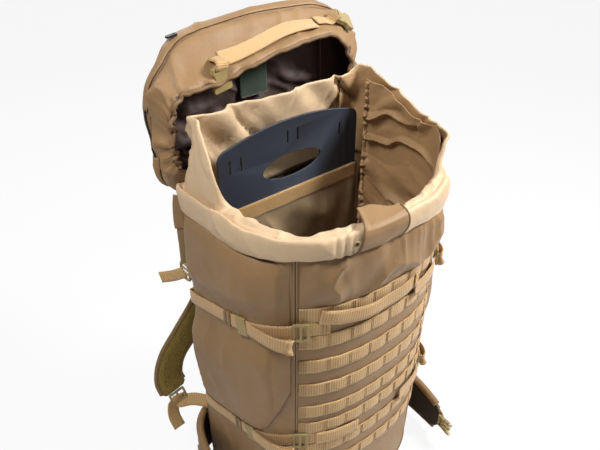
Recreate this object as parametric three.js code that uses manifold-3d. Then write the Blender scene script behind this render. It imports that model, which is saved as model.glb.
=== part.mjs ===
// Large hunting backpack, standing upright with its lid flipped back and its collar open.
// Millimetres. X points to the wearer's side-to-side width, the front of the bag faces -Y,
// the carrying harness is on +Y and +Z is up. The origin is under the middle of the base.
import * as THREE from "three";
import { mergeVertices } from "three/addons/utils/BufferGeometryUtils.js";
import Module from "manifold-3d";

const wasm = await Module();
wasm.setup();

// Driving dimensions of the bag
const mm = 1;
const rimHeight = 640 * mm; // top edge of the sewn body
const rimHalfWidth = 190 * mm;
const rimFrontDepth = 145 * mm; // from the middle of the base to the front at the rim
const backDepth = 146 * mm; // from the middle of the base to the harness side
const baseHeight = 40 * mm; // height of the wear-resistant base pan
const fabricWall = 3 * mm;
const backFoam = 22 * mm; // the padded back panel
const gap = 0.3 * mm; // between sewn pieces that lie on each other
const seamReach = 166 * mm; // along the outline, front middle to front seam
const cornerReach = 184 * mm; // along the outline, back middle to rear seam
const webbing = 25 * mm;
const webThick = 1.8 * mm;

// Shares of the rim's half width and front depth at heights of the body, by hand
const widthShares = [
  [0, 0.86], [0.008, 0.93], [0.03, 0.96], [0.0625, 0.97], [0.25, 0.978], [0.5, 0.985], [1, 1],
];
const frontShares = [
  [0, 0.76], [0.008, 0.83], [0.03, 0.87], [0.0625, 0.88], [0.3, 0.93], [0.6, 0.97], [1, 1],
];
const backShares = [[0, 0.88], [0.008, 0.95], [0.03, 0.985], [0.0625, 1], [1, 1]];
const frontRoundness = 2.45; // exponent of the front half of the outline
const backRoundness = 12; // exponent of the squarer back half
const halfStations = 25; // outline stations from front middle to back middle
const cornerWeight = 40 * mm; // extra stations per radian of turn
const mergeReach = 1e-4 * mm; // corners nearer than this are one

function shareAt(table, share) {
  let k = 0;
  while (k < table.length - 2 && share > table[k + 1][0]) k += 1;
  const [s0, v0] = table[k];
  const [s1, v1] = table[k + 1];
  return v0 + ((v1 - v0) * (Math.min(Math.max(share, s0), s1) - s0)) / (s1 - s0);
}

const clamp01 = (v) => Math.min(1, Math.max(0, v));
const smooth = (v) => clamp01(v) ** 2 * (3 - 2 * clamp01(v));
const lerp = (a, b, f) => a + (b - a) * f;

// The right half of the outline, as unit coordinates with lengths measured at the rim
function unitOutline() {
  const dense = [];
  const steps = 720;
  for (let k = 0; k <= steps; k += 1) {
    const t = -Math.PI / 2 + (Math.PI * k) / steps;
    const n = t < 0 ? frontRoundness : backRoundness;
    const x = Math.abs(Math.cos(t)) ** (2 / n);
    const y = Math.sign(t) * Math.abs(Math.sin(t)) ** (2 / n);
    dense.push({ x, y, px: x * rimHalfWidth, py: y * (t < 0 ? rimFrontDepth : backDepth) });
  }
  let length = 0;
  let weight = 0;
  let heading = null;
  dense.forEach((p, k) => {
    if (k > 0) {
      const q = dense[k - 1];
      const dx = p.px - q.px;
      const dy = p.py - q.py;
      const turn = Math.atan2(dy, dx);
      length += Math.hypot(dx, dy);
      const bend = heading === null ? 0 : Math.abs(turn - heading);
      weight += Math.hypot(dx, dy) + bend * cornerWeight;
      heading = turn;
    }
    p.length = length;
    p.weight = weight;
  });
  const stations = [dense[0]];
  for (let s = 1; s < halfStations; s += 1) {
    stations.push(dense.find((p) => p.weight >= (weight * s) / halfStations));
  }
  stations.push(dense[dense.length - 1]);
  return stations;
}

const outline = unitOutline();
const halfLength = outline[outline.length - 1].length;
const cornerLength = halfLength - cornerReach;

// A point on the body's wall: reach along the outline from the front middle (right positive),
// height z, and distance off the wall
function wall(reach, z, off) {
  let along = reach;
  if (along > halfLength) along -= 2 * halfLength;
  if (along < -halfLength) along += 2 * halfLength;
  const side = along < 0 ? -1 : 1;
  const l = Math.abs(along);
  let k = 0;
  while (k < outline.length - 2 && l > outline[k + 1].length) k += 1;
  const share = z / rimHeight;
  const a = rimHalfWidth * shareAt(widthShares, share) + off;
  const front = rimFrontDepth * shareAt(frontShares, share) + off;
  const back = backDepth * shareAt(backShares, share) + off;
  const [p, q] = [outline[k], outline[k + 1]].map((s) =>
    [side * a * s.x, (s.y < 0 ? front : back) * s.y]);
  const f = (l - outline[k].length) / (outline[k + 1].length - outline[k].length);
  return new THREE.Vector3(lerp(p[0], q[0], f), lerp(p[1], q[1], f), z);
}

// Local frame on the wall: outward normal, level tangent and the place itself
function wallFrame(reach, z, off) {
  const step = 6 * mm;
  const place = wall(reach, z, off);
  const along = wall(reach + step, z, off).sub(wall(reach - step, z, off)).normalize();
  const normal = new THREE.Vector3(along.y, -along.x, 0).normalize();
  return { place, along, normal };
}

// Outline stations between two reaches, with both ends and any extra places
function reaches(from, to, extra = []) {
  const list = [from, to, ...extra];
  for (const turn of [-2 * halfLength, 0, 2 * halfLength]) {
    for (const s of outline) {
      for (const side of [-1, 1]) list.push(side * s.length + turn);
    }
  }
  const inside = list.filter((l) => l >= from && l <= to).sort((p, q) => p - q);
  const least = 0.5 * mm;
  const kept = [inside[0]];
  for (const l of inside.slice(1, -1)) {
    if (l - kept[kept.length - 1] > least && to - l > least) kept.push(l);
  }
  kept.push(to);
  return kept;
}

// A closed solid through sections with equal point counts. Each section is a closed loop.
function loft(sections, closed = false) {
  const m = sections[0].length;
  const points = sections.flat();
  const faces = [];
  const count = sections.length;
  const last = closed ? count : count - 1;
  for (let s = 0; s < last; s += 1) {
    const t = (s + 1) % count;
    for (let i = 0; i < m; i += 1) {
      const j = (i + 1) % m;
      faces.push([s * m + i, s * m + j, t * m + j], [s * m + i, t * m + j, t * m + i]);
    }
  }
  if (!closed) {
    for (const [s, flip] of [[0, true], [count - 1, false]]) {
      for (let i = 0; i < m - 1 - i; i += 1) {
        const j = m - 1 - i;
        const quad = [[i, i + 1, j - 1], [i, j - 1, j]];
        for (const f of quad) {
          if (new Set(f).size < 3) continue;
          const face = f.map((v) => s * m + v);
          faces.push(flip ? face.reverse() : face);
        }
      }
    }
  }
  const positions = new Float32Array(faces.flat().flatMap((v) => points[v].toArray()));
  let volume = 0;
  const [a, b, c] = [new THREE.Vector3(), new THREE.Vector3(), new THREE.Vector3()];
  for (const f of faces) {
    volume += a.copy(points[f[0]]).dot(b.copy(points[f[1]]).cross(c.copy(points[f[2]])));
  }
  if (volume < 0) {
    for (let k = 0; k < positions.length; k += 9) {
      for (let i = 0; i < 3; i += 1) {
        const held = positions[k + 3 + i];
        positions[k + 3 + i] = positions[k + 6 + i];
        positions[k + 6 + i] = held;
      }
    }
  }
  const geometry = new THREE.BufferGeometry();
  geometry.setAttribute("position", new THREE.BufferAttribute(positions, 3));
  const joined = mergeVertices(geometry, mergeReach);
  joined.computeVertexNormals();
  return joined;
}

// A geometry as a solid that can be cut, and back again
function toSolid(geometry) {
  const bare = geometry.clone();
  bare.deleteAttribute("normal");
  bare.deleteAttribute("uv");
  const joined = mergeVertices(bare, mergeReach);
  return new wasm.Manifold(new wasm.Mesh({
    numProp: 3,
    vertProperties: new Float32Array(joined.attributes.position.array),
    triVerts: new Uint32Array(joined.index.array),
  }));
}

function cut(geometry, tools) {
  let solid = toSolid(geometry);
  for (const tool of tools) solid = solid.subtract(toSolid(tool));
  const { vertProperties, triVerts } = solid.getMesh();
  const result = new THREE.BufferGeometry();
  result.setAttribute("position", new THREE.BufferAttribute(new Float32Array(vertProperties), 3));
  result.setIndex(new THREE.BufferAttribute(new Uint32Array(triVerts), 1));
  result.computeVertexNormals();
  return result;
}

const overrun = 5 * mm; // a cutter's reach past what it cuts
function boxCutter(x0, x1, y0, y1, deep) {
  const box = new THREE.BoxGeometry(x1 - x0, y1 - y0, deep + 2 * overrun);
  return box.translate((x0 + x1) / 2, (y0 + y1) / 2, deep / 2);
}

// A sewn layer on the wall, between two reaches: heights, inner and outer distance are functions
function layer({ from, to, heights, inner, outer, extra = [] }) {
  const sections = reaches(from, to, extra).map((l) => {
    const zs = heights(l);
    const out = zs.map((z) => wall(l, z, outer(l, z)));
    const back = zs.map((z) => wall(l, z, inner(l, z))).reverse();
    return [...out, ...back];
  });
  return loft(sections);
}

// Materials, one look for each kind of cloth, plastic and metal
const look = (colour, roughness, metalness = 0) => () =>
  new THREE.MeshStandardMaterial({ color: colour, roughness, metalness });
const bodyCloth = look(0x8f7355, 0.85);
const paleCloth = look(0xdcc3a0, 0.6);
const brownCloth = look(0x8a6d4f, 0.7);
const linerCloth = look(0x3a2e2c, 0.5);
const strapWeb = look(0xb99e78, 0.9);
const tanPlastic = look(0xa8935e, 0.5);
const blackPlastic = look(0x25232c, 0.45);
const paleLoop = look(0xefc185, 0.95);
const darkLoop = look(0xa67f42, 0.95);
const mesh3d = look(0x6f6032, 0.95);

const backpack = new THREE.Group();
backpack.name = "hunting_backpack";

function add(name, geometry, material, matrix = null) {
  const node = new THREE.Mesh(geometry, material());
  node.name = name;
  if (matrix) node.applyMatrix4(matrix);
  backpack.add(node);
  return node;
}

// Basis matrix from a place and three axes
function basis(place, x, y, z) {
  return new THREE.Matrix4().makeBasis(x, y, z).setPosition(place);
}

const up = new THREE.Vector3(0, 0, 1);
const rearward = new THREE.Vector3(0, 1, 0);
const sides = [["left", -1], ["right", 1]];

// Body of the bag
const panelFoot = baseHeight + gap;
const panelLevels = 8;
const panelHeights = Array.from({ length: panelLevels + 1 }, (_, k) =>
  lerp(panelFoot, rimHeight, k / panelLevels));

function panel(name, from, to, inner = () => -fabricWall, heights = panelHeights) {
  add(name, layer({ from, to, heights: () => heights, inner, outer: () => 0 }), bodyCloth);
}

// The back panel's foam ends below the collar's seam
const foamTop = 588 * mm;
const foamStep = 4 * mm;
function bodyPanels() {
  panel("front_panel", -seamReach + gap, seamReach - gap);
  panel("left_side_panel", -cornerLength + gap, -seamReach - gap);
  panel("right_side_panel", seamReach + gap, cornerLength - gap);
  const low = panelHeights.filter((z) => z < foamTop - foamStep);
  const heights = [...low, foamTop, foamTop + foamStep, rimHeight];
  const inner = (l, z) => (z > foamTop ? -fabricWall : -backFoam);
  panel("back_panel", cornerLength + gap, 2 * halfLength - cornerLength - gap, inner, heights);
}

// Base pan: flat underneath, with a rounded edge turned up to meet the panels
const basePlate = 4 * mm;
function basePan() {
  const edgeShares = [0, 0.125, 0.45, 1]; // of the pan's height
  const around = reaches(-halfLength, halfLength).slice(0, -1);
  const ring = (z, off) => around.map((l) => wall(l, z, off));
  const inner = edgeShares.map((share) =>
    ring(baseHeight * share, share === 0 ? -2 * fabricWall : -fabricWall).map((p) =>
      p.setZ(Math.max(p.z, basePlate))));
  const outer = edgeShares.map((share) => ring(baseHeight * share, 0)).reverse();
  add("base_panel", loft([...inner, ...outer]), bodyCloth);
}

// Front webbing grid: rows sewn down at even stitches, standing a little proud between them
const rowInset = 5 * mm;
const stitchPitch = 38 * mm;
const stitchHalf = 3 * mm;
const rowProud = 1.6 * mm;
const strapFrontHigh = 494.5 * mm; // middle of the upper compression strap at the front
const strapFrontLow = 253.5 * mm;
const rowPitch = 50 * mm;
const rowClear = 1 * mm; // between a row and a strap beside it
const rowMiddles = [
  strapFrontHigh + webbing + rowClear,
  strapFrontHigh - webbing - rowClear,
  strapFrontHigh - webbing - rowClear - rowPitch,
  strapFrontHigh - webbing - rowClear - 2 * rowPitch,
  strapFrontHigh - webbing - rowClear - 3 * rowPitch,
  strapFrontLow + webbing + rowClear,
  strapFrontLow - webbing - rowClear,
  strapFrontLow - webbing - rowClear - rowPitch,
];

function rowStitches(from, to) {
  const list = [];
  const middle = (from + to) / 2;
  const many = Math.floor((to - from) / 2 / stitchPitch);
  for (let k = -many; k <= many; k += 1) {
    const at = middle + k * stitchPitch;
    list.push(at - stitchHalf, at + stitchHalf, at + stitchPitch / 2);
  }
  return list.filter((l) => l > from && l < to);
}

function stitchLift(l, from, to) {
  const middle = (from + to) / 2;
  const across = Math.abs((((l - middle) % stitchPitch) + stitchPitch) % stitchPitch - stitchPitch / 2);
  const share = 1 - across / (stitchPitch / 2 - stitchHalf);
  const ends = Math.min(l - from, to - l) / stitchPitch;
  return rowProud * smooth(share) * clamp01(ends * 2);
}

function webbingRows() {
  const from = -seamReach + rowInset;
  const to = seamReach - rowInset;
  rowMiddles.forEach((middle, k) => {
    const geometry = layer({
      from, to, extra: rowStitches(from, to),
      heights: () => [middle - webbing / 2, middle + webbing / 2],
      inner: (l) => gap + stitchLift(l, from, to),
      outer: (l) => gap + webThick + stitchLift(l, from, to),
    });
    add(`webbing_row_${k + 1}`, geometry, strapWeb);
  });
}

// Compression straps, which slope on the sides and lie level across the front seam
const strapRearHigh = 437 * mm;
const strapRearLow = 190 * mm;
const strapTab = 52 * mm; // reach of each strap past the seam onto the front
const pocketTop = 612 * mm;
const pocketInset = 7 * mm;
const pocketSkin = 4 * mm; // thickness of the pressed pocket under a strap
const pocketBulge = 13 * mm;
const pocketCorner = 26 * mm;
const grooveHalf = 21 * mm;
const grooveFade = 60 * mm;

function strapHeight(l, frontZ, rearZ) {
  return lerp(frontZ, rearZ, clamp01((Math.abs(l) - seamReach) / (cornerLength - seamReach)));
}
const highStrap = (l) => strapHeight(l, strapFrontHigh, strapRearHigh);
const lowStrap = (l) => strapHeight(l, strapFrontLow, strapRearLow);

// Side pockets: long flat pockets, pressed in where the upper strap crosses
const pocketFrom = seamReach + pocketInset;
const pocketTo = cornerLength - pocketInset;

function pocketFoot(l) {
  const edge = Math.min(Math.abs(l) - pocketFrom, pocketTo - Math.abs(l));
  const inside = clamp01(edge / pocketCorner);
  const round = pocketCorner * (1 - Math.sqrt(1 - (1 - inside) ** 2));
  return lowStrap(l) + webbing / 2 + sliderClear + sliderLeg + 4 * gap + round;
}

function pocketOuter(l, z) {
  const u = (Math.abs(l) - pocketFrom) / (pocketTo - pocketFrom);
  const v = (z - pocketFoot(l)) / (pocketTop - pocketFoot(l));
  const across = 1 - Math.abs(2 * clamp01(u) - 1) ** 3;
  const upward = Math.sqrt(Math.max(0, 1 - Math.abs(2 * clamp01(v) - 1) ** 4));
  const press = smooth((Math.abs(z - highStrap(l)) - grooveHalf) / grooveFade);
  return gap + pocketSkin + pocketBulge * across * upward * press;
}

function sidePockets() {
  for (const [side, sign] of sides) {
    const ends = sign < 0 ? [-pocketTo, -pocketFrom] : [pocketFrom, pocketTo];
    const extra = [0.3, 0.65, 1].flatMap((share) =>
      [ends[0] + pocketCorner * share, ends[1] - pocketCorner * share]);
    const geometry = layer({
      from: ends[0], to: ends[1], extra,
      heights: (l) => {
        const strap = highStrap(l);
        const low = [0, 1, 2, 3].map((k) => lerp(pocketFoot(l), strap - grooveHalf, k / 4));
        const high = [0, 1, 2, 3].map((k) => lerp(strap + grooveHalf, pocketTop, k / 3));
        return [...low, strap - grooveHalf, ...high];
      },
      inner: () => gap,
      outer: pocketOuter,
    });
    add(`${side}_side_pocket`, geometry, bodyCloth);
  }
}

const rampFore = 6 * mm;
const rampAft = 4 * mm;
const pressedTop = gap + pocketSkin + gap; // where a strap lies on the pressed pocket
function highStrapSeat(l) {
  const reach = Math.abs(l);
  const on = smooth((reach - (seamReach - rampFore)) / (rampFore + rampAft));
  const off = smooth((reach - pocketTo - rampAft / 2) / rampFore);
  return lerp(gap, pressedTop, on) * (1 - off) + gap * off;
}

const strapEnd = 10 * mm; // past the rear seam, where a strap is sewn in
function compressionStrap(name, sign, height, seat) {
  const ends = [seamReach - strapTab, cornerLength + strapEnd];
  const [from, to] = sign < 0 ? [-ends[1], -ends[0]] : ends;
  const marks = [seamReach - rampFore, seamReach - rampFore / 4, seamReach + rampAft,
    pocketTo + rampAft / 2, pocketTo + rampAft / 2 + rampFore].map((l) => sign * l);
  const geometry = layer({
    from, to, extra: marks,
    heights: (l) => [height(l) - webbing / 2, height(l) + webbing / 2],
    inner: seat,
    outer: (l) => seat(l) + webThick,
  });
  add(name, geometry, strapWeb);
}

// Bar slider clipped over a strap, and the ladder buckle at the front seam
const sliderLength = 22 * mm;
const sliderPlate = 2.5 * mm;
const sliderLeg = 2.4 * mm;
const sliderClear = 0.6 * mm;
const sliderReach = 88 * mm; // from the front seam

function cSlider() {
  const half = webbing / 2 + sliderClear;
  const foot = 0.3 * mm;
  const top = webThick + sliderClear;
  const shape = new THREE.Shape();
  shape.moveTo(-half - sliderLeg, foot);
  shape.lineTo(-half - sliderLeg, top + sliderPlate * 0.6);
  shape.quadraticCurveTo(-half - sliderLeg, top + sliderPlate, -half, top + sliderPlate);
  shape.lineTo(half, top + sliderPlate);
  shape.quadraticCurveTo(half + sliderLeg, top + sliderPlate, half + sliderLeg, top + sliderPlate * 0.6);
  shape.lineTo(half + sliderLeg, foot);
  shape.lineTo(half, foot);
  shape.lineTo(half, top);
  shape.lineTo(-half, top);
  shape.lineTo(-half, foot);
  shape.closePath();
  const geometry = new THREE.ExtrudeGeometry(shape, {
    depth: sliderLength, bevelEnabled: false, curveSegments: 3, steps: 1,
  });
  geometry.translate(0, 0, -sliderLength / 2);
  return geometry;
}

const buckleLong = 25 * mm;
const buckleHigh = 33 * mm;
const buckleThick = 3.2 * mm;
const buckleBar = 4 * mm;
const buckleCrown = 1.2 * mm;

function roundedRect(w, h, r) {
  const shape = new THREE.Shape();
  const [x, y] = [w / 2 - r, h / 2 - r];
  const corners = [[x, -y], [x, y], [-x, y], [-x, -y]];
  corners.forEach(([cx, cy], k) => {
    shape.absarc(cx, cy, r, (Math.PI / 2) * (k - 1), (Math.PI / 2) * k);
  });
  return shape;
}

function ladderBuckle(w, h, thick) {
  const shape = roundedRect(w, h, buckleBar * 0.8);
  const inner = h / 2 - buckleBar;
  const span = w / 2 - buckleBar;
  const frame = new THREE.ExtrudeGeometry(shape, {
    depth: thick - buckleCrown, bevelEnabled: true, bevelThickness: buckleCrown / 2,
    bevelSize: buckleCrown / 2, bevelOffset: -buckleCrown / 2, bevelSegments: 1, curveSegments: 2,
  }).translate(0, 0, buckleCrown / 2);
  return cut(frame, [
    boxCutter(-span, -buckleBar / 2, -inner, inner, thick),
    boxCutter(buckleBar / 2, span, -inner, inner, thick),
  ]);
}

const buckleReach = seamReach - buckleLong / 2 + rampAft;
const highBuckleSeat = pressedTop + webThick + 2 * gap;
const lowBuckleSeat = gap + webThick + rowProud * 0.7; // clear of the rows beside it

function strapSlider(name, sign, height, seat) {
  const l = sign * (seamReach + sliderReach);
  const step = sliderLength / 2;
  const ahead = wall(l + step, height(l + step), seat(l));
  const behind = wall(l - step, height(l - step), seat(l));
  const along = ahead.sub(behind).normalize();
  const { normal } = wallFrame(l, height(l), 0);
  const across = new THREE.Vector3().crossVectors(normal, along).normalize();
  const place = wall(l, height(l), seat(l));
  add(name, cSlider(), tanPlastic, basis(place, across, normal, across.clone().cross(normal)));
}

function strapFittings() {
  const straps = [
    ["upper", highStrap, highStrapSeat, highBuckleSeat],
    ["lower", lowStrap, () => gap, lowBuckleSeat],
  ];
  for (const [level, height, seat, buckleSeat] of straps) {
    for (const [side, sign] of sides) {
      compressionStrap(`${level}_${side}_strap`, sign, height, seat);
      strapSlider(`${level}_${side}_slider`, sign, height, seat);
      const f = wallFrame(sign * buckleReach, height(0), buckleSeat);
      add(`${level}_${side}_buckle`, ladderBuckle(buckleLong, buckleHigh, buckleThick), tanPlastic,
        basis(f.place, f.along, up, f.normal));
    }
  }
}

// Collar: an open sleeve of thin coated cloth above the rim, turned outward along its top edge
const collarFoot = 596 * mm;
const collarHigh = 120 * mm; // above the rim at the back
const collarSide = 86 * mm; // above the rim along the right wall
const collarLow = 13 * mm; // rolled down over the front and the left wall
const collarCloth = 2 * mm;
const collarIn = 5.7 * mm; // inner face, inside the body wall
const collarOut = 2.7 * mm; // outer face of the turned edge
const hemDrop = 24 * mm;
const foldDeep = 5 * mm; // main folds of the standing cloth
const foldCount = 11;

const leftRiseShare = 0.31; // of the back depth, where the left wall starts to rise
const leftRampShare = 0.59;
const rightRiseShare = 0.86; // of the front depth, where the right wall has risen from
const rightRampShare = 0.42;

// Height of the standing cloth above the rim
function collarRise(l) {
  const p = wall(l, rimHeight, 0);
  const back = p.y / backDepth;
  if (p.x < 0) return lerp(collarLow, collarHigh, smooth((back - leftRiseShare) / leftRampShare));
  const front = smooth((p.y / rimFrontDepth + rightRiseShare) / rightRampShare);
  return lerp(collarLow, lerp(collarSide, collarHigh, smooth((back + 0.05) / 0.85)), front);
}

function collarSection(l) {
  const rise = collarRise(l);
  const top = rimHeight + rise;
  const wave = 1.4 + Math.sin((l / halfLength) * Math.PI * foldCount);
  const sway = (z) => -clamp01((z - rimHeight - hemDrop) / collarHigh) * foldDeep * wave;
  const at = (z, off) => wall(l, Math.min(z, rimHeight), off + sway(z)).setZ(z);
  const middle = rimHeight + rise * 0.45;
  const hem = top - collarLow - hemDrop;
  const lining = -collarIn + collarCloth;
  return [
    at(collarFoot, -collarIn), at(rimHeight, -collarIn), at(middle, -collarIn),
    at(top - collarCloth, -collarIn), at(top, -collarIn / 2), at(top, collarOut / 2),
    at(top - collarCloth, collarOut), at(hem, collarOut), at(hem, collarOut - collarCloth),
    at(top - 2 * collarCloth, collarOut - collarCloth), at(top - 1.6 * collarCloth, -collarIn / 4),
    at(top - 2 * collarCloth, lining), at(middle, lining), at(rimHeight, lining),
    at(collarFoot, lining),
  ];
}

const frontFolds = 12; // extra stations round the right front, where the top edge climbs
function collar() {
  const from = seamReach * 0.7;
  const extra = Array.from({ length: frontFolds }, (_, k) =>
    lerp(from, cornerLength, k / frontFolds));
  const around = reaches(-halfLength, halfLength, extra).slice(0, -1);
  add("collar", loft(around.map(collarSection), true), paleCloth);
}

// Storm tab over the drawcord outlet at the front of the collar
const tabHalf = 30 * mm;
const tabReach = -30 * mm; // left of the front's middle
const tabTail = 14 * mm; // past the turned hem
function stormTab() {
  const off = collarOut + gap;
  const hem = rimHeight - hemDrop;
  const geometry = layer({
    from: tabReach - tabHalf, to: tabReach + tabHalf,
    heights: () => [hem - tabTail, hem, rimHeight + collarLow / 2],
    inner: () => off, outer: () => off + collarCloth,
  });
  add("storm_tab", geometry, brownCloth);
}

// Inner sleeve and the stiff frame sheet that slides in it
const sheetThick = 4 * mm;
const sheetHalf = 148 * mm;
const sheetShift = 4 * mm; // the sheet stands a little to the right in its sleeve
const sheetFoot = 76 * mm;
const sheetTop = 721 * mm;
const sheetArch = 24 * mm;
const sheetCorner = 13 * mm;
const gripLong = 126 * mm;
const gripHigh = 44 * mm;
const gripBelow = 81 * mm; // from the top of the arch to the middle of the hand hole
const slotLong = 22 * mm;
const slotWide = 3.2 * mm;
const slotPitch = 21 * mm;
const slotBelow = 30 * mm;
const sleeveY = 92 * mm; // the sleeve's face towards the sheet
const sleeveHalf = 155 * mm;
const sleeveTop = 596 * mm;
const sleeveFoot = 46 * mm;
const sleeveCloth = 2 * mm;
const sleeveReachShare = 0.919; // of the foam face, where the corner rounds off
const sleeveTurn = 6 * mm;
const stripInset = 12 * mm;
const sheetY = sleeveY + 2 * gap + sheetThick / 2;

function frameSheet() {
  const side = sheetTop - sheetArch;
  const shape = new THREE.Shape();
  shape.absarc(sheetHalf - sheetCorner, sheetFoot + sheetCorner, sheetCorner, -Math.PI / 2, 0);
  shape.lineTo(sheetHalf, side - sheetCorner);
  shape.quadraticCurveTo(sheetHalf, side, sheetHalf - sheetCorner, side + sheetArch * 0.2);
  shape.quadraticCurveTo(sheetHalf * 0.45, sheetTop, 0, sheetTop);
  shape.quadraticCurveTo(-sheetHalf * 0.45, sheetTop, -sheetHalf + sheetCorner, side + sheetArch * 0.2);
  shape.quadraticCurveTo(-sheetHalf, side, -sheetHalf, side - sheetCorner);
  shape.absarc(-sheetHalf + sheetCorner, sheetFoot + sheetCorner, sheetCorner, Math.PI, 1.5 * Math.PI);
  const bevel = 1 * mm;
  const blank = new THREE.ExtrudeGeometry(shape, {
    depth: sheetThick - 2 * bevel, bevelEnabled: true, bevelThickness: bevel, bevelSize: bevel,
    bevelOffset: -bevel, bevelSegments: 1, curveSegments: 6,
  });
  const grip = new THREE.Shape();
  grip.absellipse(0, sheetTop - gripBelow, gripLong / 2, gripHigh / 2, 0, 2 * Math.PI);
  const gripTool = new THREE.ExtrudeGeometry(grip, {
    depth: sheetThick + 2 * overrun, bevelEnabled: false, curveSegments: 12,
  });
  const tools = [gripTool.translate(0, 0, -overrun)];
  for (const middle of [-sheetHalf * 0.78, 0, sheetHalf * 0.78]) {
    for (const off of [-slotPitch / 2, slotPitch / 2]) {
      const drop = slotBelow + (middle === 0 ? 0 : sheetArch * 0.75);
      const x = middle + off;
      const z = sheetTop - drop;
      const half = [slotWide / 2, slotLong / 2];
      tools.push(boxCutter(x - half[0], x + half[0], z - half[1], z + half[1], sheetThick));
    }
  }
  const geometry = cut(blank, tools);
  geometry.rotateX(Math.PI / 2);
  geometry.translate(sheetShift, sheetY + sheetThick / 2 - bevel, 0);
  add("frame_sheet", geometry, blackPlastic);
}

function sleeve() {
  const backWall = (backDepth - backFoam) * sleeveReachShare;
  const shape = new THREE.Shape();
  const turn = sleeveTurn;
  shape.moveTo(-sleeveHalf, backWall);
  shape.lineTo(-sleeveHalf, sleeveY - turn + sleeveCloth);
  shape.quadraticCurveTo(-sleeveHalf, sleeveY - sleeveCloth, -sleeveHalf + turn, sleeveY - sleeveCloth);
  shape.lineTo(sleeveHalf - turn, sleeveY - sleeveCloth);
  shape.quadraticCurveTo(sleeveHalf, sleeveY - sleeveCloth, sleeveHalf, sleeveY - turn + sleeveCloth);
  shape.lineTo(sleeveHalf, backWall);
  shape.lineTo(sleeveHalf - sleeveCloth, backWall);
  shape.lineTo(sleeveHalf - sleeveCloth, sleeveY + turn / 3);
  shape.quadraticCurveTo(sleeveHalf - sleeveCloth, sleeveY, sleeveHalf - sleeveCloth - turn / 3, sleeveY);
  shape.lineTo(-sleeveHalf + sleeveCloth + turn / 3, sleeveY);
  shape.quadraticCurveTo(-sleeveHalf + sleeveCloth, sleeveY, -sleeveHalf + sleeveCloth, sleeveY + turn / 3);
  shape.lineTo(-sleeveHalf + sleeveCloth, backWall);
  shape.closePath();
  const geometry = new THREE.ExtrudeGeometry(shape, {
    depth: sleeveTop - sleeveFoot, bevelEnabled: false, curveSegments: 2, steps: 1,
  });
  add("sheet_sleeve", geometry.translate(0, 0, sleeveFoot), brownCloth);
}

function slab(w, d, h) {
  const shape = roundedRect(w, h, Math.min(w, h) * 0.12);
  return new THREE.ExtrudeGeometry(shape, { depth: d, bevelEnabled: false, curveSegments: 1 })
    .rotateX(Math.PI / 2);
}

const stripThick = 2.2 * mm;
function sleeveStrip() {
  const geometry = slab(2 * (sleeveHalf - stripInset), stripThick, webbing);
  geometry.translate(0, sleeveY - sleeveCloth - gap, sleeveTop - webbing / 2 - gap);
  add("sleeve_strip", geometry, darkLoop);
}

// Lid: a shallow box standing open behind the collar. l runs from its hinge side towards its
// front edge, which points up here, and n from its hem to its top, which faces back here.
const lidHemY = 150 * mm;
const lidHingeZ = 648 * mm;
const lidShift = 8 * mm; // the open lid lies a little to the right
const hemHalf = 192 * mm;
const hemLong = 172 * mm;
const lidHalf = 216 * mm;
const lidBelow = 48 * mm; // the hinge side bulges this far past the hem
const lidLong = 206 * mm; // front edge, from the hinge
const hemBow = 14 * mm;
const lidBow = 11 * mm;
const skirtDeep = 56 * mm;
const lidDeep = 92 * mm;
const lidCrown = 7 * mm;
const lidCorner = 60 * mm;
const lidHeel = 34 * mm; // corner radius at the hinge side
const lidCloth = 3 * mm;

function bowRadius(half, bow) {
  return (half * half + bow * bow) / (2 * bow);
}

// The lid's outline at one depth: half width, low and high edge, corner radii and front bow
function lidOutline({ half, low, high, corner, heel, bow, n }) {
  const right = [];
  const flat = half - corner;
  const radius = bowRadius(flat, bow);
  const side = high - bow;
  for (let k = 0; k < 3; k += 1) right.push([((half - heel) * k) / 3, low]);
  for (let k = 0; k <= 3; k += 1) {
    const t = (Math.PI / 2) * (k / 3);
    right.push([half - heel + heel * Math.sin(t), low + heel - heel * Math.cos(t)]);
  }
  const rise = side - corner - low - heel;
  for (let k = 1; k < 3; k += 1) right.push([half, low + heel + (rise * k) / 3]);
  for (let k = 0; k <= 5; k += 1) {
    const t = (Math.PI / 2) * (k / 5);
    right.push([half - corner + corner * Math.cos(t), side - corner + corner * Math.sin(t)]);
  }
  for (let k = 1; k < 5; k += 1) {
    const x = flat * (1 - k / 5);
    right.push([x, high - radius + Math.sqrt(radius * radius - x * x)]);
  }
  const all = [...right, [0, high], ...right.slice(1).reverse().map(([x, l]) => [-x, l])];
  return all.map(([x, l]) => new THREE.Vector3(lidShift + x, lidHemY + n, lidHingeZ + l));
}

// How far the skirt has widened from the hem towards the seam of the cover
function skirtSwell(n) {
  return Math.sin(clamp01(n / skirtDeep) * (Math.PI / 2)) ** 0.7;
}

function lidStep(n, inset = 0) {
  const swell = skirtSwell(n);
  return lidOutline({
    half: lerp(hemHalf, lidHalf, swell) - inset,
    low: lerp(0, -lidBelow, swell) + inset,
    high: lerp(hemLong, lidLong, swell) - inset,
    corner: lidCorner, heel: lidHeel,
    bow: lerp(hemBow, lidBow, swell), n,
  });
}

function transpose(rings) {
  return rings[0].map((_, k) => rings.map((ring) => ring[k]));
}

const linerThick = 2 * mm;
const linerBack = 5 * mm; // behind the liner, up to the skirt's seam
function lidSkirt() {
  const linerShare = 1 - (linerBack + linerThick) / skirtDeep;
  const stepShares = [0, 0.2, 0.55, linerShare, 1];
  const outer = stepShares.map((s) => lidStep(skirtDeep * s));
  const inner = stepShares.map((s) => lidStep(skirtDeep * s, lidCloth)).reverse();
  add("lid_skirt", loft(transpose([...outer, ...inner]), true), bodyCloth);
}

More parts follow.
